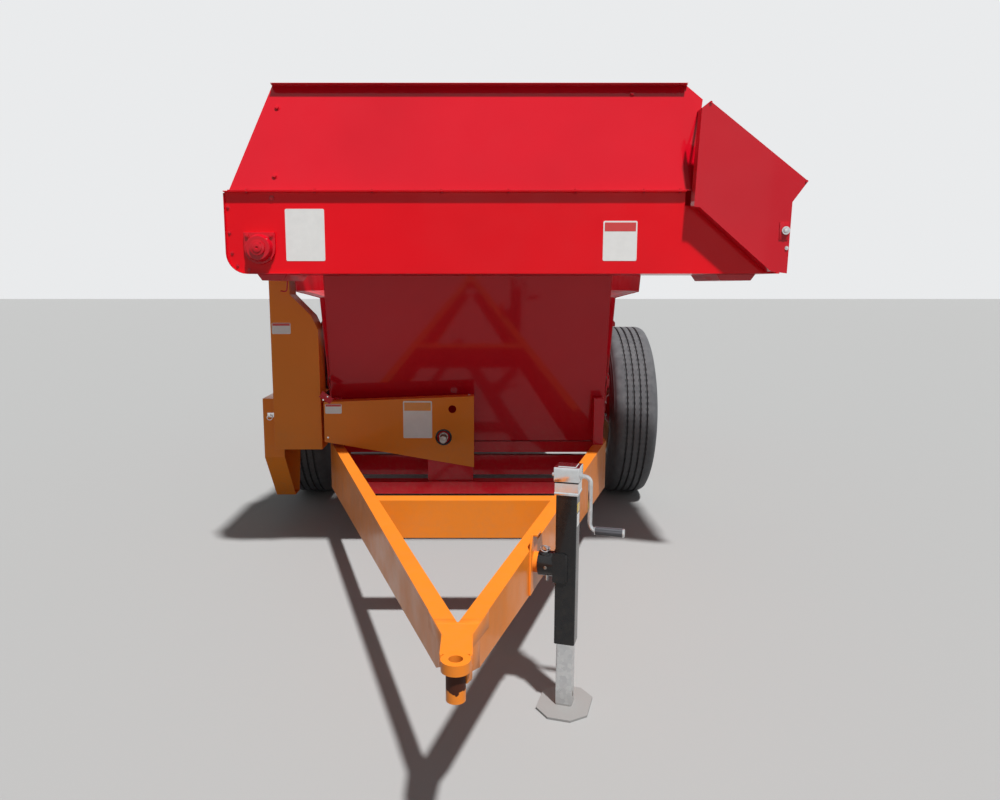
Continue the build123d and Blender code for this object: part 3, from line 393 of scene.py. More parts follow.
edgeSizes = {
    "sheet": 0.0011,
    "plate": 0.0018,
    "casting": 0.0030,
    "flatAngle": 0.6,
    "sharpAngle": 28,
}
softened = {
    "sheet": [
        "hood_front", "hood_end", "hood_side_left", "hood_side_right", "trough_front", "trough_back",
        "trough_floor", "chute_deflector", "box_side_left", "box_side_right", "box_front_wall",
        "box_rear_wall", "box_floor", "vertical_guard", "drive_guard", "side_guard",
    ],
    "plate": [
        "tongue_beam_left", "tongue_beam_right", "tongue_crossbar", "sill_left", "sill_right",
        "underframe_crossmembers", "front_crossmembers", "lower_crossbar", "drive_post", "corner_posts",
        "trough_hangers", "axle", "jack_mount", "jack_leg", "side_guard_bracket",
        "floor_apron", "elevator_apron", "cross_conveyor",
    ],
    "casting": ["hitch_nose", "jack_tube", "trough_bearings", "side_bearings"],
}
neck = {"reach": 0.030, "half": 0.030, "below": 0.450, "raised": 0.478}


def raiseNoseCorners(piece):  # the neck's underside rises to the collar
    for vert in piece.data.vertices:
        across = abs(vert.co.x - centreX)
        if vert.co.y < pinY + neck["reach"] and vert.co.z < neck["below"] and across > neck["half"]:
            vert.co.z = neck["raised"]


def softenNode(nodeName, width):
    source = frame["nodes"][nodeName]
    piece = source.copy()
    piece.data = source.data.copy()
    piece.parent = None
    for key in list(piece.keys()):
        del piece[key]
    bpy.context.scene.collection.objects.link(piece)
    if nodeName == "hitch_nose":
        raiseNoseCorners(piece)
    editAll(piece)
    bpy.ops.mesh.remove_doubles(threshold=0.00002)
    bpy.ops.mesh.dissolve_limited(angle_limit=radians(edgeSizes["flatAngle"]))
    leaveEdit()
    bpy.ops.mesh.customdata_custom_splitnormals_clear()
    bevel = piece.modifiers.new("edge", "BEVEL")
    bevel.width = width
    bevel.segments = 2
    bevel.limit_method = "ANGLE"
    bevel.angle_limit = radians(edgeSizes["sharpAngle"])
    bevel.harden_normals = True
    bpy.ops.object.shade_smooth_by_angle(angle=radians(30))
    applyModifiers(piece)
    piece.name = nodeName + "_dressed"
    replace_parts(piece, nodeName)
    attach(piece, bodyOf[nodeName])
    return piece


dressed = {}
for kind, names in softened.items():
    for nodeName in names:
        dressed[nodeName] = softenNode(nodeName, edgeSizes[kind])
# The hitch's bush gets the dark band of painted collar shadow; the jack's foot gets real dirt
# The trough's front plate gets the brighter red copy: painted light
for nodeName, finish in (("jack_leg", wornFoot), ("hitch_nose", bushPaintedShadow), ("trough_front", litFasciaRed)):
    dressed[nodeName].data.materials[0] = finish
print("sheet metal softened")

# Bolts: one head on its washer, copied to every place

boltShape = {
    "head": 0.010,
    "headHeight": 0.0075,
    "washer": 0.0145,
    "washerHeight": 0.0022,
    "chamfer": 0.0016,
    "dome": 0.010,
    "domeHeight": 0.006,
}


def roundPiece(name, radius, length, segments=32, soften=0.0, steps=2):  # stands on the origin, along z
    deselectAll()
    middle = (0, 0, length / 2)
    bpy.ops.mesh.primitive_cylinder_add(vertices=segments, radius=radius, depth=length, location=middle)
    piece = bpy.context.object
    piece.name = name
    settle(piece)
    if soften:
        bevelEdges(piece, soften, steps, 50)
    return piece


def boxPiece(name, size, soften=0.0, steps=2):  # stands on the origin
    deselectAll()
    bpy.ops.mesh.primitive_cube_add(size=1, location=(0, 0, size[2] / 2))
    piece = bpy.context.object
    piece.name = name
    piece.scale = size
    settle(piece)
    if soften:
        bevelEdges(piece, soften, steps)
    return piece


def facing(point, normal, turn=0.0, size=1.0):  # a place whose z axis is the normal
    turned = Vector(normal).normalized().to_track_quat("Z", "Y").to_matrix().to_4x4()
    return Matrix.Translation(point) @ turned @ Matrix.Rotation(turn, 4, "Z") @ Matrix.Scale(size, 4)


def chooseIn(piece, kind, wanted):  # edit mode, with only the chosen verts, edges or faces selected
    pick(piece)
    bpy.ops.object.mode_set(mode="EDIT")
    bpy.ops.mesh.select_mode(type=kind)
    bpy.ops.mesh.select_all(action="DESELECT")
    shape = bmesh.from_edit_mesh(piece.data)
    for item in {"VERT": shape.verts, "EDGE": shape.edges, "FACE": shape.faces}[kind]:
        if wanted(item):
            item.select_set(True)
    bmesh.update_edit_mesh(piece.data)


def throwAway(piece):
    bpy.data.objects.remove(piece, do_unlink=True)


boltHead = roundPiece("boltHead", boltShape["head"], boltShape["headHeight"], 6, boltShape["chamfer"])
boltHead.data.transform(Matrix.Translation((0, 0, boltShape["washerHeight"])))
boltWasher = roundPiece("boltWasher", boltShape["washer"], boltShape["washerHeight"], 20, 0.0006, 1)
hexBolt = joinAs([boltHead, boltWasher], "hexBolt")
domeBolt = roundPiece("domeBolt", boltShape["dome"], boltShape["domeHeight"], 20, 0.0045, 3)


def placeBolts(name, body, slot, places, pattern=None):
    heads = []
    for number, (point, normal, size) in enumerate(places):
        turn = number * 0.7
        heads.append(copyAt(pattern or hexBolt, facing(point, normal, turn, size)))
    return finishPiece(joinAs(heads, name), name, body, slot)


faceAhead = (0, -1, 0)
fascia = {"front": 1.680, "top": 1.690, "lean": 0.343, "bolt": 0.6}
hoodLean = Vector((0, -0.455, 0.156)).normalized()  # the way the hood's face looks
flangeBolts = (-0.90, -0.62, -0.385, -0.10, 0.175, 0.45, 0.73, 0.88)


def hoodFace(across, up):
    return at(across, fascia["front"] + (up - fascia["top"]) * fascia["lean"], up)


placeBolts("hoodBolts", "wagon", "red_paint", [
    (hoodFace(-0.795, 2.045), hoodLean, 0.9),
    (hoodFace(-0.790, 1.752), hoodLean, 0.9),
    (hoodFace(0.700, 2.106), hoodLean, 0.9),
    (at(-0.80, fascia["front"], 1.662), faceAhead, 0.8),
])
placeBolts("flangeBolts", "wagon", "red_paint", [
    (at(across, fascia["front"] - 0.011, fascia["top"] + 0.003 * upward), (0, 0, upward), fascia["bolt"])
    for upward in (1, -1) for across in flangeBolts
])

# Wider front edge on the hood's top flange: its shadow band shows in the photograph
strip = {"size": (1.748, 0.024, 0.0024), "place": (0.055, 1.808, 2.1422), "soften": 0.0008}
topStrip = boxPiece("hoodTopStrip", strip["size"], strip["soften"])
topStrip.data.transform(Matrix.Translation(at(*strip["place"])))
finishPiece(topStrip, "hoodTopStrip", "wagon", "red_paint")
print("hood bolts placed")

# Lip with bolts round the trough's left end

endLip = {
    "width": 0.012,
    "thick": 0.003,
    "left": -0.995,
    "foot": 1.355,
    "corner": 0.085,
    "top": 1.682,
    "run": 0.30,
    "bolts": [(-0.982, 1.625), (-0.980, 1.522), (-0.972, 1.440), (-0.952, 1.388), (-0.905, 1.370)],
    "bolt": 0.55,
}
lipLine = [(endLip["left"], endLip["top"]), (endLip["left"], endLip["foot"] + endLip["corner"])]
for step in range(1, 9):
    angle = step * pi / 16
    lipLine.append((
        endLip["left"] + endLip["corner"] * (1 - cos(angle)),
        endLip["foot"] + endLip["corner"] * (1 - sin(angle)),
    ))
lipLine.append((endLip["left"] + endLip["run"], endLip["foot"]))


def drawLine(name, points):  # a run of edges through the points
    deselectAll()
    bpy.ops.mesh.primitive_plane_add(size=0.01, location=(0, 0, 0))
    piece = bpy.context.object
    piece.name = name
    bpy.ops.object.mode_set(mode="EDIT")
    bpy.ops.mesh.select_mode(type="VERT")
    bpy.ops.mesh.select_all(action="SELECT")
    bpy.ops.mesh.merge(type="CENTER")
    bpy.ops.transform.translate(value=points[0])
    here = Vector(points[0])
    for point in points[1:]:
        step = Vector(point) - here
        bpy.ops.mesh.extrude_region_move(TRANSFORM_OT_translate={"value": step})
        here = Vector(point)
    leaveEdit()
    return piece


def pipePiece(name, points, radius, rounding=0.0, segments=12, sides=3):  # a rod or wire through the points
    piece = drawLine(name, points)
    pick(piece)
    if rounding:
        editAll(piece)
        bpy.ops.mesh.bevel(offset=rounding, segments=sides + 2, affect="VERTICES")
        leaveEdit()
    bpy.ops.object.convert(target="CURVE")
    piece = bpy.context.object
    piece.data.bevel_depth = radius
    piece.data.bevel_resolution = max(1, segments // 4 - 1)
    piece.data.use_fill_caps = True
    bpy.ops.object.convert(target="MESH")
    return bpy.context.object


def spinPiece(name, profile, place, steps):  # profile of (out, radius), turned about the across axis
    centre = at(*place)
    points = [centre + Vector((out, 0, radius)) for out, radius in profile]
    piece = drawLine(name, points)
    editAll(piece)
    bpy.ops.mesh.spin(steps=steps, angle=2 * pi, center=centre, axis=(1, 0, 0))
    bpy.ops.mesh.select_all(action="SELECT")
    bpy.ops.mesh.remove_doubles(threshold=0.00001)
    bpy.ops.mesh.normals_make_consistent(inside=False)
    leaveEdit()
    return piece


lip = drawLine("troughLip", [at(across, fascia["front"], up) for across, up in lipLine])
editAll(lip)
bpy.ops.mesh.extrude_region_move(TRANSFORM_OT_translate={"value": (0, -endLip["width"], 0)})
leaveEdit()
thicken = lip.modifiers.new("thick", "SOLIDIFY")
thicken.thickness = endLip["thick"]
thicken.offset = 0
applyModifiers(lip)
finishPiece(lip, "troughLip", "wagon", "red_paint")
placeBolts("lipBolts", "wagon", "red_paint", [
    (at(across, fascia["front"], up), faceAhead, endLip["bolt"]) for across, up in endLip["bolts"]
])
print("trough lip done")

# Wheels

wheels = {
    "across": 0.970,
    "back": 3.300,
    "up": 0.525,
    "steps": 192,
    "nuts": 10,
    "nut": 1.25,
    "nutCircle": 0.083,
    "disc": 0.040,
    "rimSteps": 96,
    "rimEdge": 0.0012,
    "rimEdgeAngle": 50,
    "hubSteps": 64,
    "valve": [(-0.030, 0.232), (0.010, 0.236), (0.030, 0.228)],  # out and up from the centre
    "valveRadius": 0.0035,
    "valveBend": 0.01,
}
tread = {
    "radius": 0.5245,
    "half": 0.088,
    "grooveDepth": 0.013,
    "grooveWidth": 0.009,
    "grooves": (-0.057, -0.019, 0.019, 0.057),
    "sipeDepth": 0.006,
    "sipeWidth": 0.0045,
    "sipeEdge": 0.0009,
}


def tyreProfile():
    deep = tread["radius"] - tread["grooveDepth"]
    line = []
    for middle in tread["grooves"]:
        low = middle - tread["grooveWidth"] / 2
        high = middle + tread["grooveWidth"] / 2
        line += [
            (low - tread["sipeWidth"], tread["radius"]), (low, tread["radius"]), (low + 0.0015, deep),
            (high - 0.0015, deep), (high, tread["radius"]), (high + tread["sipeWidth"], tread["radius"]),
        ]
    right = [
        (0.083, 0.5240), (0.098, 0.5205), (0.112, 0.5125), (0.119, 0.5000), (0.1235, 0.4860),
        (0.1255, 0.4840), (0.1275, 0.4730), (0.1300, 0.4640), (0.1315, 0.4590), (0.1325, 0.4575),
        (0.1325, 0.4545), (0.1330, 0.4530), (0.1365, 0.4300), (0.1375, 0.4290), (0.1375, 0.4260),
        (0.1370, 0.4250), (0.1370, 0.4050), (0.1350, 0.3800), (0.1310, 0.3550), (0.1320, 0.3535),
        (0.1315, 0.3500), (0.1295, 0.3490), (0.1230, 0.3300), (0.1160, 0.3150), (0.1120, 0.3050),
        (0.1040, 0.3000), (0.1040, 0.2864),
    ]
    left = [(-out, radius) for out, radius in right]
    return left[::-1] + line + right + [(-0.1040, 0.2864)]


def pressSipes(piece, centre):  # small notches along both edges of every rib
    pitch = 2 * pi / wheels["steps"]
    stripOut = (tread["grooveWidth"] + tread["sipeWidth"]) / 2

    def onRibEdge(face):
        middle = face.calc_center_median() - centre
        turn = int((atan2(middle.z, middle.y) + pi) / pitch)
        strip = any(abs(abs(middle.x - groove) - stripOut) < 0.0008 for groove in tread["grooves"])
        return strip and hypot(middle.y, middle.z) > tread["radius"] - 0.002 and turn % 2

    chooseIn(piece, "FACE", onRibEdge)
    bpy.ops.mesh.inset(thickness=tread["sipeEdge"], depth=0, use_individual=True)
    bpy.ops.mesh.extrude_region_shrink_fatten(TRANSFORM_OT_shrink_fatten={"value": -tread["sipeDepth"]})
    leaveEdit()


rimProfile = [
    (-0.107, 0.2975), (-0.107, 0.2862), (-0.100, 0.2860), (0.100, 0.2860), (0.107, 0.2862), (0.107, 0.2975),
    (0.1115, 0.2975), (0.1115, 0.2780), (0.096, 0.2745), (0.030, 0.2700), (-0.012, 0.2670), (-0.026, 0.2500),
    (-0.036, 0.2100), (-0.0395, 0.1700), (-0.0400, 0.0585), (-0.0488, 0.0585), (-0.0488, 0.2200),
    (-0.028, 0.2690), (-0.1115, 0.2770), (-0.1115, 0.2975), (-0.107, 0.2975),
]
hubProfile = [
    (-0.0955, 0.040), (-0.0955, 0.069), (-0.066, 0.108), (-0.066, 0.1115), (-0.0495, 0.1115),
    (-0.0495, 0.0578), (-0.036, 0.0578), (-0.030, 0.0560), (0.040, 0.0520), (0.0405, 0.0490),
    (0.050, 0.0475), (0.060, 0.0440), (0.072, 0.0350), (0.079, 0.0200), (0.0815, 0.0), (0.060, 0.0),
]
for side, hand in ((-1, "left"), (1, "right")):
    body = "wheel_" + hand
    place = (side * wheels["across"], wheels["back"], wheels["up"])
    centre = at(*place)
    tyre = spinPiece("tyre", tyreProfile(), place, wheels["steps"])
    pressSipes(tyre, centre)
    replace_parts(finishPiece(tyre, "dressedTyre_" + hand, body, "tyre_rubber", 32), "tyre_" + hand)
    rim = spinPiece("rim", [(side * out, radius) for out, radius in rimProfile], place, wheels["rimSteps"])
    bevelEdges(rim, wheels["rimEdge"], 1, wheels["rimEdgeAngle"])
    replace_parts(finishPiece(rim, "dressedRim_" + hand, body, "cream_paint", 40), "rim_" + hand)
    hub = spinPiece("hub", [(side * out, radius) for out, radius in hubProfile], place, wheels["hubSteps"])
    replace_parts(finishPiece(hub, "dressedHub_" + hand, body, "red_paint", 40), "hub_" + hand)
    nuts = []
    for number in range(wheels["nuts"]):
        angle = number * 2 * pi / wheels["nuts"]
        ring = wheels["nutCircle"]
        spot = centre + Vector((-side * wheels["disc"], ring * cos(angle), ring * sin(angle)))
        nuts.append((spot, (side, 0, 0), wheels["nut"]))
    placeBolts("wheelNuts_" + hand, body, "zinc_plate", nuts)
    valveLine = [centre + Vector((side * out, 0, up)) for out, up in wheels["valve"]]
    valve = pipePiece("valve", valveLine, wheels["valveRadius"], wheels["valveBend"])
    finishPiece(valve, "valve_" + hand, body, "zinc_plate")
print("wheels done")

# Trough bearing: bolts, lock collar, grease nipple and the shaft's end

leftBearing = {
    "across": -0.855,
    "up": 1.459,
    "flange": 0.014,
    "depth": 0.044,
    "bolt": 0.050,
    "lowBolt": 0.040,
    "collar": 0.031,
    "collarThick": 0.010,
    "screw": (0.014, 0.021),
    "screwSize": 0.35,
    "shaft": 0.0195,
    "shaftLength": 0.009,
    "bore": 0.0105,
    "boreLip": 0.0035,
    "boreDepth": 0.004,
    "nipple": (0.028, 0.026, 0.028),
    "nippleLean": (0.6, -0.5, 0.6),
}


def bearingSpot(across, ahead, up):
    return at(leftBearing["across"] + across, fascia["front"] - ahead, leftBearing["up"] + up)


placeBolts("bearingBolts", "wagon", "red_paint", [
    (bearingSpot(side * out, leftBearing["flange"], up), faceAhead, size)
    for out, up, size, sides in (
        (leftBearing["bolt"], leftBearing["bolt"], 0.75, (-1, 1)),
        (leftBearing["lowBolt"], -leftBearing["lowBolt"], 0.70, (1, -1)),
    ) for side in sides
])
collar = roundPiece("lockCollar", leftBearing["collar"], leftBearing["collarThick"], 48, 0.0018)
collar.data.transform(facing(bearingSpot(0, leftBearing["depth"] - 0.0015, 0), faceAhead))
screwSpot = bearingSpot(leftBearing["screw"][0], leftBearing["depth"] + 0.0075, leftBearing["screw"][1])
screwHead = copyAt(domeBolt, facing(screwSpot, faceAhead, 0, leftBearing["screwSize"]))
collar = joinAs([collar, screwHead], "lockCollar")
finishPiece(collar, "lockCollar", "wagon", "red_paint")
shaftEnd = roundPiece("shaftEnd", leftBearing["shaft"], leftBearing["shaftLength"], 40, 0.0025)
chooseIn(shaftEnd, "FACE", lambda face: face.calc_center_median().z > 0.0089 and face.normal.z > 0.9)
bpy.ops.mesh.inset(thickness=leftBearing["bore"], depth=0)
bpy.ops.mesh.inset(thickness=leftBearing["boreLip"], depth=-leftBearing["boreDepth"])
leaveEdit()
shaftEnd.data.transform(facing(bearingSpot(0, leftBearing["depth"] + 0.003, 0), faceAhead))
finishPiece(shaftEnd, "shaftEnd", "wagon", "red_paint")
nipple = roundPiece("greaseNipple", 0.0045, 0.010, 12, 0.0012)
nippleTip = roundPiece("nippleTip", 0.0032, 0.0065, 12, 0.002)
nippleTip.data.transform(Matrix.Translation((0, 0, 0.009)))
nipple = joinAs([nipple, nippleTip], "greaseNipple")
nipple.data.transform(facing(bearingSpot(*leftBearing["nipple"]), leftBearing["nippleLean"]))
finishPiece(nipple, "greaseNipple", "wagon", "zinc_plate")

# Bolts of the closed bearings on the box sides

sideBearings = {
    "bolt": 0.041,
    "thick": 0.014,
    "rows": [(5.290, 0.655), (2.640, 0.655), (2.480, 0.805), (2.330, 1.785)],  # back and up
    "highFace": 0.834,
    "lowFace": 0.7043,
    "lowUp": 0.609,
    "lean": 0.020 / 0.586,
}


def sideFace(up):  # outer face of the closed bearings' plates
    if up > 1.2:
        return sideBearings["highFace"] + sideBearings["thick"]
    leaning = (up - sideBearings["lowUp"]) * sideBearings["lean"]
    return sideBearings["lowFace"] + leaning + sideBearings["thick"]


for side, hand in ((-1, "left"), (1, "right")):
    spots = []
    for back, up in sideBearings["rows"]:
        for stepY in (-sideBearings["bolt"], sideBearings["bolt"]):
            for stepZ in (-sideBearings["bolt"], sideBearings["bolt"]):
                spots.append((at(side * sideFace(up), back + stepY, up + stepZ), (side, 0, 0), 0.75))
    placeBolts("sideBearingBolts_" + hand, "wagon", "red_paint", spots)
print("bearings done")

# Blank plates where the stickers are

plateShape = {"thick": 0.0009, "corner": 0.006, "header": 0.22}
redPlate = plateMaterial("redPlate", (0.62, 0.03, 0.03))
yellowPlate = plateMaterial("yellowPlate", (0.80, 0.52, 0.03))


def stands(edge):
    return abs(edge.verts[0].co.z - edge.verts[1].co.z) > 0.9 * edge.calc_length()


def blankPlate(name, body, middle, normal, width, height, headerPaint=None):  # top edge up, on the face
    plate = boxPiece(name, (width, height, plateShape["thick"]))
    chooseIn(plate, "EDGE", stands)
    bpy.ops.mesh.bevel(offset=min(plateShape["corner"], width / 5, height / 5), segments=4)
    leaveEdit()
    plate.data.materials.append(whitePlate)
    if headerPaint is not None:
        tall = height * plateShape["header"]
        header = boxPiece("header", (width * 0.92, tall, plateShape["thick"]), 0.0003, 1)
        header.data.materials.append(headerPaint)
        header.data.transform(Matrix.Translation((0, height / 2 - tall / 2 - height * 0.04, 0.0005)))
        plate = joinAs([plate, header], name)
    plate.data.transform(facing(middle, normal))
    return finishPiece(plate, name, body, "cream_paint", 30)


blankPlate("blankPlateLarge", "wagon", at(-0.667, fascia["front"], 1.513), faceAhead, 0.162, 0.212)
blankPlate("blankPlateFascia", "wagon", at(0.640, fascia["front"], 1.489), faceAhead, 0.141, 0.163, redPlate)
blankPlate("blankPlateUpright", "wagon", at(-0.913, 2.194, 1.099), faceAhead, 0.092, 0.054, redPlate)
blankPlate("blankPlateDrive", "wagon", at(-0.664, 2.170, 0.704), faceAhead, 0.082, 0.048, redPlate)
blankPlate("blankPlateShaft", "wagon", at(-0.248, 2.170, 0.650), faceAhead, 0.143, 0.186, orangePlate)
print("blank plates done")

# Deflector: reinforcing plate, pivot bolts, rods in its two corners

chute = {
    "front": 1.620,
    "rear": 2.220,
    "plate": (0.036, 0.072, 0.003),
    "rod": 0.005,
    "rods": [("rodLow", 1.3755, 1.7215, 0.004), ("rodHigh", 0.9755, 2.0260, 0.005)],
}
backing = boxPiece("pivotPlate", chute["plate"], 0.0008)
backing.data.transform(facing(at(1.294, chute["front"], 1.525), faceAhead))
finishPiece(backing, "pivotPlate", "chute", "red_paint")
placeBolts("chuteBolts", "chute", "zinc_plate", [
    (at(1.301, chute["front"] - 0.0055, 1.527), faceAhead, 1.15),
    (at(1.310, chute["front"], 1.457), faceAhead, 0.55),
])
for name, across, up, ahead in chute["rods"]:
    ends = [at(across, chute["front"] - ahead, up), at(across, chute["rear"] + 0.003, up)]
    rod = pipePiece(name, ends, chute["rod"])
    finishPiece(rod, "chute_" + name, "chute", "red_paint")

# Small red hook under the trough's left end
hook = pipePiece("troughHook", [
    at(-0.823, 1.990, 1.350), at(-0.825, 1.990, 1.318), at(-0.829, 1.990, 1.278), at(-0.857, 1.990, 1.282),
], 0.0032, 0.012)
finishPiece(hook, "troughHook", "wagon", "red_paint")
print("deflector and hook done")

# Guards: screws, strap, ring round the input shaft, latch of the side guard

shaftLow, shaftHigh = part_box("input_shaft")
guards = {
    "driveFront": 2.170,
    "strap": (0.064, 0.034, 0.003),
    "strapTurn": -0.62,
    "ring": 0.0365,
    "latch": (0.062, 0.024, 0.003),
    "latchPin": (-1.026, 2.342, 0.644),
    "latchRing": (-1.026, 2.336, 0.632),
    "inputAcross": (shaftLow.x + shaftHigh.x) / 2 - centreX,
    "inputUp": (shaftLow.z + shaftHigh.z) / 2,
}
placeBolts("guardScrews", "wagon", "zinc_plate", [
    (at(0.008, 2.196, 0.7695), (0, 0, 1), 0.50),
    (at(-0.694, guards["driveFront"], 0.560), faceAhead, 0.50),
], domeBolt)
strap = boxPiece("guardStrap", guards["strap"], 0.0008)
strap.data.transform(facing(at(-0.697, guards["driveFront"] - 0.0002, 0.760), faceAhead, guards["strapTurn"]))
finishPiece(strap, "guardStrap", "wagon", "red_paint")
placeBolts("strapBolt", "wagon", "zinc_plate", [
    (at(-0.712, guards["driveFront"] - 0.003, 0.749), faceAhead, 0.45),
    (at(-0.690, guards["driveFront"] - 0.003, 0.765), faceAhead, 0.40),
], domeBolt)


def ringPiece(name, major, minor, squash, place):
    deselectAll()
    radii = {"major_radius": major, "minor_radius": minor}
    bpy.ops.mesh.primitive_torus_add(major_segments=40, minor_segments=12, **radii)
    piece = bpy.context.object
    piece.name = name
    editAll(piece)
    bpy.ops.transform.resize(value=(1, 1, squash))
    leaveEdit()
    piece.data.transform(place)
    return piece


shieldRing = ringPiece("shaftRing", guards["ring"], 0.0045, 0.7, facing(
    at(guards["inputAcross"], guards["driveFront"] - 0.001, guards["inputUp"]), faceAhead))
finishPiece(shieldRing, "shaftRing", "wagon", "black_paint")
spline = {"count": 6, "size": (0.0062, 0.0022, 0.058), "radius": 0.0174}
splines = []
for number in range(spline["count"]):
    key = boxPiece("spline", spline["size"], 0.0006, 1)
    turn = Matrix.Rotation(number * 2 * pi / spline["count"], 4, "Z")
    key.data.transform(turn @ Matrix.Translation((0, spline["radius"], 0)))
    splines.append(key)
splineSet = joinAs(splines, "inputSplines")
splineSet.data.transform(facing(at(guards["inputAcross"], 2.165, guards["inputUp"]), faceAhead))
finishPiece(splineSet, "inputSplines", "input", "bare_steel")

latchPlate = boxPiece("latchPlate", guards["latch"], 0.0008)
latchPlate.data.transform(facing(at(-1.008, 2.3440, 0.644), faceAhead))
latchPin = roundPiece("latchPin", 0.0055, 0.010, 16, 0.0015)
latchPin.data.transform(facing(at(*guards["latchPin"]), faceAhead))
latchRing = ringPiece("latchRing", 0.013, 0.0020, 1.0, facing(at(*guards["latchRing"]), (0.15, -1, 0.1)))
latch = joinAs([latchPlate, latchPin, latchRing], "guardLatch")
finishPiece(latch, "guardLatch", "side_cover", "zinc_plate")
print("guards done")

# Jack: cap, pins, crank with its grip, saddle, lock pin and foot bolts

legLow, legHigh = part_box("jack_leg")
jack = {
    "middle": Vector(((legLow.x + legHigh.x) / 2, (legLow.y + legHigh.y) / 2, 0)),
    "along": Vector((0.2924, 0.9563, 0)),
    "out": Vector((0.9563, -0.2924, 0)),
    "tube": 0.0318,
    "crankUp": 0.740,
    "arm": 0.165,
    "armOut": 0.067,
    "gripStart": 0.084,
    "grip": 0.090,
    "gripRadius": 0.013,
    "rod": 0.007,
    "pivotUp": 0.458,
    "cap": (0.076, 0.076, 0.044),
    "capUp": 0.7265,
    "skirt": (0.0735, 0.0735, 0.010),
    "skirtUp": 0.6850,
    "gasket": (0.0722, 0.0722, 0.0045),
    "gasketUp": 0.7222,
    "gripColour": (0.085, 0.085, 0.095),
    "gripRoughness": 0.32,
    "ribDepth": 0.0012,
}


def jackSpot(along, out, up):
    return jack["middle"] + jack["along"] * along + jack["out"] * out + Vector((0, 0, up))


def jackPlace(along, out, up):  # x along the beam, y outwards turned over, z up
    turned = Matrix((
        (jack["out"].x, jack["along"].x, 0, 0),
        (jack["out"].y, jack["along"].y, 0, 0),
        (0, 0, 1, 0),
        (0, 0, 0, 1),
    ))
    return Matrix.Translation(jackSpot(along, out, up)) @ turned


cap = boxPiece("jackCap", jack["cap"], 0.0022, 3)
chooseIn(cap, "FACE", lambda face: face.normal.z > 0.99 and face.calc_area() > 0.002)
bpy.ops.mesh.inset(thickness=0.009, depth=0)
bpy.ops.mesh.inset(thickness=0.0015, depth=0.0018)
leaveEdit()
cap.data.transform(jackPlace(0, 0, jack["capUp"]))
skirt = boxPiece("jackSkirt", jack["skirt"], 0.0030, 3)
skirt.data.transform(jackPlace(0, 0, jack["skirtUp"]))
cap = joinAs([cap, skirt], "jackCap")
cap.data.materials.append(smoothZinc)
finishPiece(cap, "jackCap", "jack", "zinc_plate")
gasket = boxPiece("jackGasket", jack["gasket"], 0.0006)  # dark joint under the cap
gasket.data.transform(jackPlace(0, 0, jack["gasketUp"]))
finishPiece(gasket, "jackGasket", "jack", "black_paint")
sidePin = roundPiece("jackSidePin", 0.0055, 0.012, 20, 0.0015)
sidePin.data.transform(facing(jackSpot(0, -0.0375, jack["crankUp"]), -jack["out"]))
seat = roundPiece("crankSeat", 0.0130, 0.0035, 28, 0.0008)
seat.data.transform(facing(jackSpot(0, 0.0375, jack["crankUp"]), jack["out"]))
finishPiece(joinAs([sidePin, seat], "jackPins"), "jackPins", "jack", "zinc_plate")

crankLow = jack["crankUp"] - jack["arm"]
crank = pipePiece("crankRod", [
    jackSpot(0, 0.010, jack["crankUp"]), jackSpot(0, jack["armOut"], jack["crankUp"]),
    jackSpot(0, jack["armOut"], crankLow), jackSpot(0, jack["gripStart"] + 0.004, crankLow),
], jack["rod"], 0.020, 20, 6)
crossPin = roundPiece("crossPin", 0.0028, 0.026, 12, 0.0006)
crossPin.data.transform(facing(jackSpot(-0.013, 0.047, jack["crankUp"]), jack["along"]))
crank = joinAs([crank, crossPin], "crankRod")
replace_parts(finishPiece(crank, "crankRod", "jack_crank", "zinc_plate", 45), "jack_crank")
gripRubber = startMaterial("gripRubber")[0]
gripShader = gripRubber.node_tree.nodes["Principled BSDF"]
gripShader.inputs["Base Color"].default_value = (*jack["gripColour"], 1)
gripShader.inputs["Roughness"].default_value = jack["gripRoughness"]
grip = roundPiece("crankGrip", jack["gripRadius"], jack["grip"] - 0.008, 40, 0.0015)
longFaces = [face for face in grip.data.polygons if abs(face.normal.z) < 0.01 and face.area > 0.00005]
longFaces.sort(key=lambda face: atan2(face.normal.y, face.normal.x))
ribbed = {face.index for face in longFaces[::4]}
chooseIn(grip, "FACE", lambda face: face.index in ribbed)
bpy.ops.mesh.inset(thickness=0.0004, depth=0, use_individual=True)
bpy.ops.mesh.extrude_region_shrink_fatten(TRANSFORM_OT_shrink_fatten={"value": -jack["ribDepth"]})
leaveEdit()
grip.data.transform(facing(jackSpot(0, jack["gripStart"], crankLow), jack["out"]))
grip.data.materials.append(gripRubber)
finishPiece(grip, "crankGrip", "jack_crank", "black_paint")
gripEnd = roundPiece("gripEnd", 0.0132, 0.006, 36, 0.0015)
gripEnd.data.transform(facing(jackSpot(0, jack["gripStart"] + jack["grip"] - 0.009, crankLow), jack["out"]))
gripWasher = roundPiece("gripWasher", 0.0125, 0.003, 36, 0.0008)
gripWasher.data.transform(facing(jackSpot(0, jack["gripStart"] - 0.003, crankLow), jack["out"]))
finishPiece(joinAs([gripEnd, gripWasher], "gripEnds"), "gripEnds", "jack_crank", "zinc_plate")

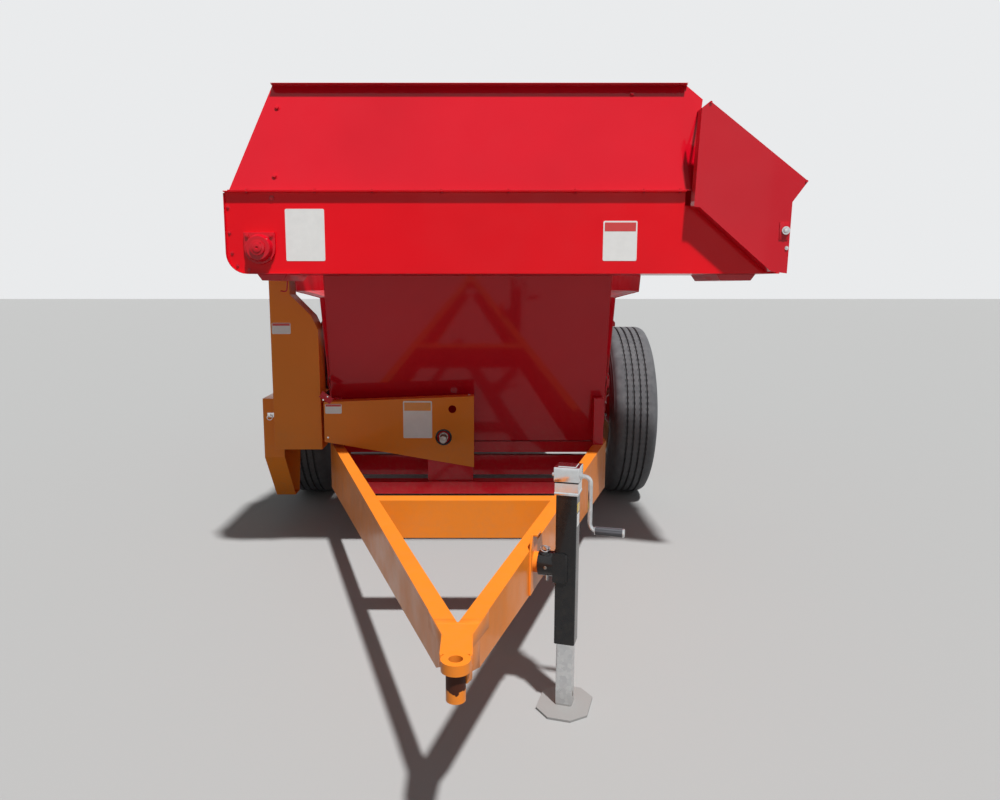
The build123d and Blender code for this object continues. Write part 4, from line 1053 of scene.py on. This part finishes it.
saddleShape = {"size": (0.044, 0.005, 0.086), "beside": 0.0024, "out": -0.014, "below": 0.043}
saddles = []
for side in (-1, 1):
    saddle = boxPiece("saddle", saddleShape["size"], 0.0018)
    besideTube = side * (jack["tube"] + saddleShape["beside"])
    saddle.data.transform(jackPlace(besideTube, saddleShape["out"], jack["pivotUp"] - saddleShape["below"]))
    saddles.append(saddle)
finishPiece(joinAs(saddles, "jackSaddle"), "jackSaddle", "jack", "black_paint")
lock = {
    "radius": 0.0050,
    "length": 0.104,
    "out": -0.062,
    "below": 0.056,
    "head": 0.0085,
    "headHeight": 0.007,
    "above": 0.045,
    "ring": 0.0145,
    "wire": 0.0017,
    "ringLean": (0.1, -0.35, 1),
}
lockPin = roundPiece("lockPin", lock["radius"], lock["length"], 20, 0.0012)
lockPin.data.transform(Matrix.Translation(jackSpot(0, lock["out"], jack["pivotUp"] - lock["below"])))
lockHead = roundPiece("lockHead", lock["head"], lock["headHeight"], 24, 0.0015)
lockHead.data.transform(Matrix.Translation(jackSpot(0, lock["out"], jack["pivotUp"] + lock["above"])))
lockRing = ringPiece("lockRing", lock["ring"], lock["wire"], 1.0, facing(
    jackSpot(-0.013, -0.066, jack["pivotUp"] + 0.049), lock["ringLean"]))
finishPiece(joinAs([lockPin, lockHead, lockRing], "lockPin"), "lockPin", "jack", "zinc_plate")
placeBolts("socketPin", "jack", "bare_steel", [
    (jackSpot(-0.0375, -0.060, jack["pivotUp"] - 0.002), -jack["along"], 0.55),
], domeBolt)
footPin = {"radius": 0.0085, "height": 0.0012, "seat": 0.0254 - 0.0010, "up": 0.040, "rearUp": 0.052}
pinEnd = roundPiece("pinEnd", footPin["radius"], footPin["height"], 28, 0.0003)  # flush, to pass the tube
placeBolts("footBolts", "jack_leg", "bare_steel", [
    (jackSpot(0, footPin["seat"], footPin["up"]), jack["out"], 1.0),
    (jackSpot(0, -footPin["seat"], footPin["up"]), -jack["out"], 1.0),
    (jackSpot(-footPin["seat"], 0, footPin["rearUp"]), -jack["along"], 0.6),
], pinEnd)
throwAway(pinEnd)
jackMarks = [("jackMarkUpper", yellowPlate, 0.644, 0.024), ("jackMarkLower", whitePlate, 0.606, 0.036)]
for name, paint, up, tall in jackMarks:
    mark = boxPiece(name, (0.034, tall, plateShape["thick"]))
    mark.data.materials.append(paint)
    mark.data.transform(facing(jackSpot(-0.004, jack["tube"], up), jack["out"]))
    finishPiece(mark, name, "jack", "cream_paint", 30)
print("jack done")

# Plates at the hitch's nose


def prismPiece(name, outline, depth, soften=0.0006):  # a flat outline pushed along a vector
    piece = drawLine(name, outline)
    editAll(piece)
    bpy.ops.mesh.edge_face_add()
    bpy.ops.mesh.extrude_region_move(TRANSFORM_OT_translate={"value": depth})
    bpy.ops.mesh.select_all(action="SELECT")
    bpy.ops.mesh.normals_make_consistent(inside=False)
    leaveEdit()
    bevelEdges(piece, soften, 2)
    return piece


# Cheeks that carry the beams' webs on to the bush, the laps over them, and the plate over the beams' meeting
nose = {
    "top": noseHigh.z - 0.0004,
    "beamEnd": (0.0529, 0.1780, 0.3925),
    "kink": (0.0356, 0.1205),
    "front": (0.0356, 0.0190),
    "lapEnd": (0.0758, 0.2500, 0.4620),
    "lap": 0.0009,
    "lapKinkLow": 0.4730,
    "lapFrontLow": 0.4800,
    "tips": [(-1, "left", 0.477), (1, "right", 0.449)],
    "kinkPart": 0.37,
}


def webPlate(rear, front, lowRear, lowFront, side, deep):  # upright, between two places on the beam's line
    corners = ((rear, nose["top"]), (rear, lowRear), (front, lowFront), (front, nose["top"]))
    outline = [at(side * spot[0], spot[1], up) for spot, up in corners]
    return prismPiece("web", outline, Vector((-side * deep, deep * 0.3, 0)))


for side, hand, tip in nose["tips"]:
    beamEnd = nose["beamEnd"]
    lapEnd = nose["lapEnd"]
    kinkLow = beamEnd[2] + (tip - beamEnd[2]) * nose["kinkPart"]
    lapKink = (nose["kink"][0] + nose["lap"], nose["kink"][1])
    lapFront = (nose["front"][0] + nose["lap"], nose["front"][1] + 0.006)
    pieces = [
        webPlate(beamEnd, nose["kink"], beamEnd[2], kinkLow, side, 0.005),
        webPlate(nose["kink"], nose["front"], kinkLow, tip, side, 0.005),
        webPlate(lapEnd, lapKink, lapEnd[2], nose["lapKinkLow"], side, 0.002),
        webPlate(lapKink, lapFront, nose["lapKinkLow"], nose["lapFrontLow"], side, 0.002),
    ]
    if side > 0:
        pieces.append(webPlate((0.0356, 0.0195), (0.0250, -0.0040), tip, 0.4505, side, 0.004))
    finishPiece(joinAs(pieces, "noseCheek_" + hand), "noseCheek_" + hand, "wagon", "orange_paint")
coverLine = [
    (-0.0500, 0.170), (0.0500, 0.170), (0.0585, 0.200), (0.0078, 0.200),
    (0.0018, 0.182), (-0.0018, 0.182), (-0.0078, 0.200), (-0.0585, 0.200),
]
cover = prismPiece("noseCover", [at(*spot, 0.5066) for spot in coverLine], Vector((0, 0, -0.004)), 0.0004)
finishPiece(cover, "noseCover", "wagon", "orange_paint")
print("nose plates done")

for pattern in (hexBolt, domeBolt):
    throwAway(pattern)

# Floor, lights and camera
studio = {
    "floorSize": 160.0,
    "floorColour": (0.38, 0.38, 0.375),
    "floorBounce": (0.20, 0.20, 0.20),
    "worldColour": (0.90, 0.95, 1.0),
    "worldStrength": 0.15,
    "backdropColour": (0.82, 0.83, 0.84),
    "towardsKey": (0.52, -1.08, 2.45),  # the key light stands high, to the right of the hitch
    "keyStrength": 4.7,
    "keyAngle": 3.0,
    "frontPlace": (1.5, -9.0, 3.5),
    "frontAim": (0, 0, 1.2),
    "frontSize": 5.0,
    "frontPower": 25,
}


def seenRay(nodes, links):  # one for what the camera, a mirror or a glass shows
    ray = nodes.new("ShaderNodeLightPath").outputs
    direct = mathNode(nodes, links, "MAXIMUM", ray["Is Camera Ray"], ray["Is Glossy Ray"])
    return mathNode(nodes, links, "MAXIMUM", direct, ray["Is Transmission Ray"])


bpy.ops.mesh.primitive_plane_add(size=studio["floorSize"], location=(0, 0, 0))
floor = bpy.context.object
floor.name = "studioFloor"
floorPaint = bpy.data.materials.new("floorPaint")
floorPaint.use_nodes = True
floorNodes = floorPaint.node_tree.nodes
floorLinks = floorPaint.node_tree.links
floorSeen = seenRay(floorNodes, floorLinks)
floorTone = mixNode(floorNodes, floorLinks, floorSeen, studio["floorBounce"], studio["floorColour"])
floorLinks.new(floorTone, floorNodes["Principled BSDF"].inputs["Base Color"])
floorNodes["Principled BSDF"].inputs["Roughness"].default_value = 0.9
floor.data.materials.append(floorPaint)

world = bpy.data.worlds.new("studioWorld")
world.use_nodes = True
worldNodes = world.node_tree.nodes
worldLinks = world.node_tree.links
worldLight = worldNodes["Background"]
worldLight.inputs["Color"].default_value = (*studio["worldColour"], 1)
worldLight.inputs["Strength"].default_value = studio["worldStrength"]
backdrop = worldNodes.new("ShaderNodeBackground")
backdrop.inputs["Color"].default_value = (*studio["backdropColour"], 1)
seen = worldNodes.new("ShaderNodeMixShader")
worldLinks.new(seenRay(worldNodes, worldLinks), seen.inputs["Fac"])
worldLinks.new(worldLight.outputs["Background"], seen.inputs[1])
worldLinks.new(backdrop.outputs["Background"], seen.inputs[2])
worldLinks.new(seen.outputs["Shader"], worldNodes["World Output"].inputs["Surface"])
bpy.context.scene.world = world

bpy.ops.object.light_add(type="SUN", location=(0, 0, 6))
keyLamp = bpy.context.object
keyLamp.name = "keyLamp"
keyLamp.data.energy = studio["keyStrength"]
keyLamp.data.angle = radians(studio["keyAngle"])
keyLamp.rotation_euler = Vector(studio["towardsKey"]).to_track_quat("Z", "Y").to_euler()
keyLamp.visible_glossy = False
bpy.ops.object.light_add(type="AREA", location=studio["frontPlace"])
frontLamp = bpy.context.object
frontLamp.name = "frontLamp"
frontLamp.data.size = studio["frontSize"]
frontLamp.data.energy = studio["frontPower"]
towardsLamp = Vector(studio["frontPlace"]) - Vector(studio["frontAim"])
frontLamp.rotation_euler = towardsLamp.to_track_quat("Z", "Y").to_euler()

lens = {"focal": 27.36, "sensor": 36.0, "pitchDown": 8.46, "shift": 0.023, "place": (0.046, -1.54, 1.30)}
bpy.ops.object.camera_add(location=at(*lens["place"]))
camera = bpy.context.object
camera.rotation_euler = (radians(90 - lens["pitchDown"]), 0, 0)
camera.data.lens = lens["focal"]
camera.data.sensor_width = lens["sensor"]
camera.data.shift_x = lens["shift"]
bpy.context.scene.camera = camera
bpy.context.scene.view_settings.view_transform = "Standard"
print("stage set")
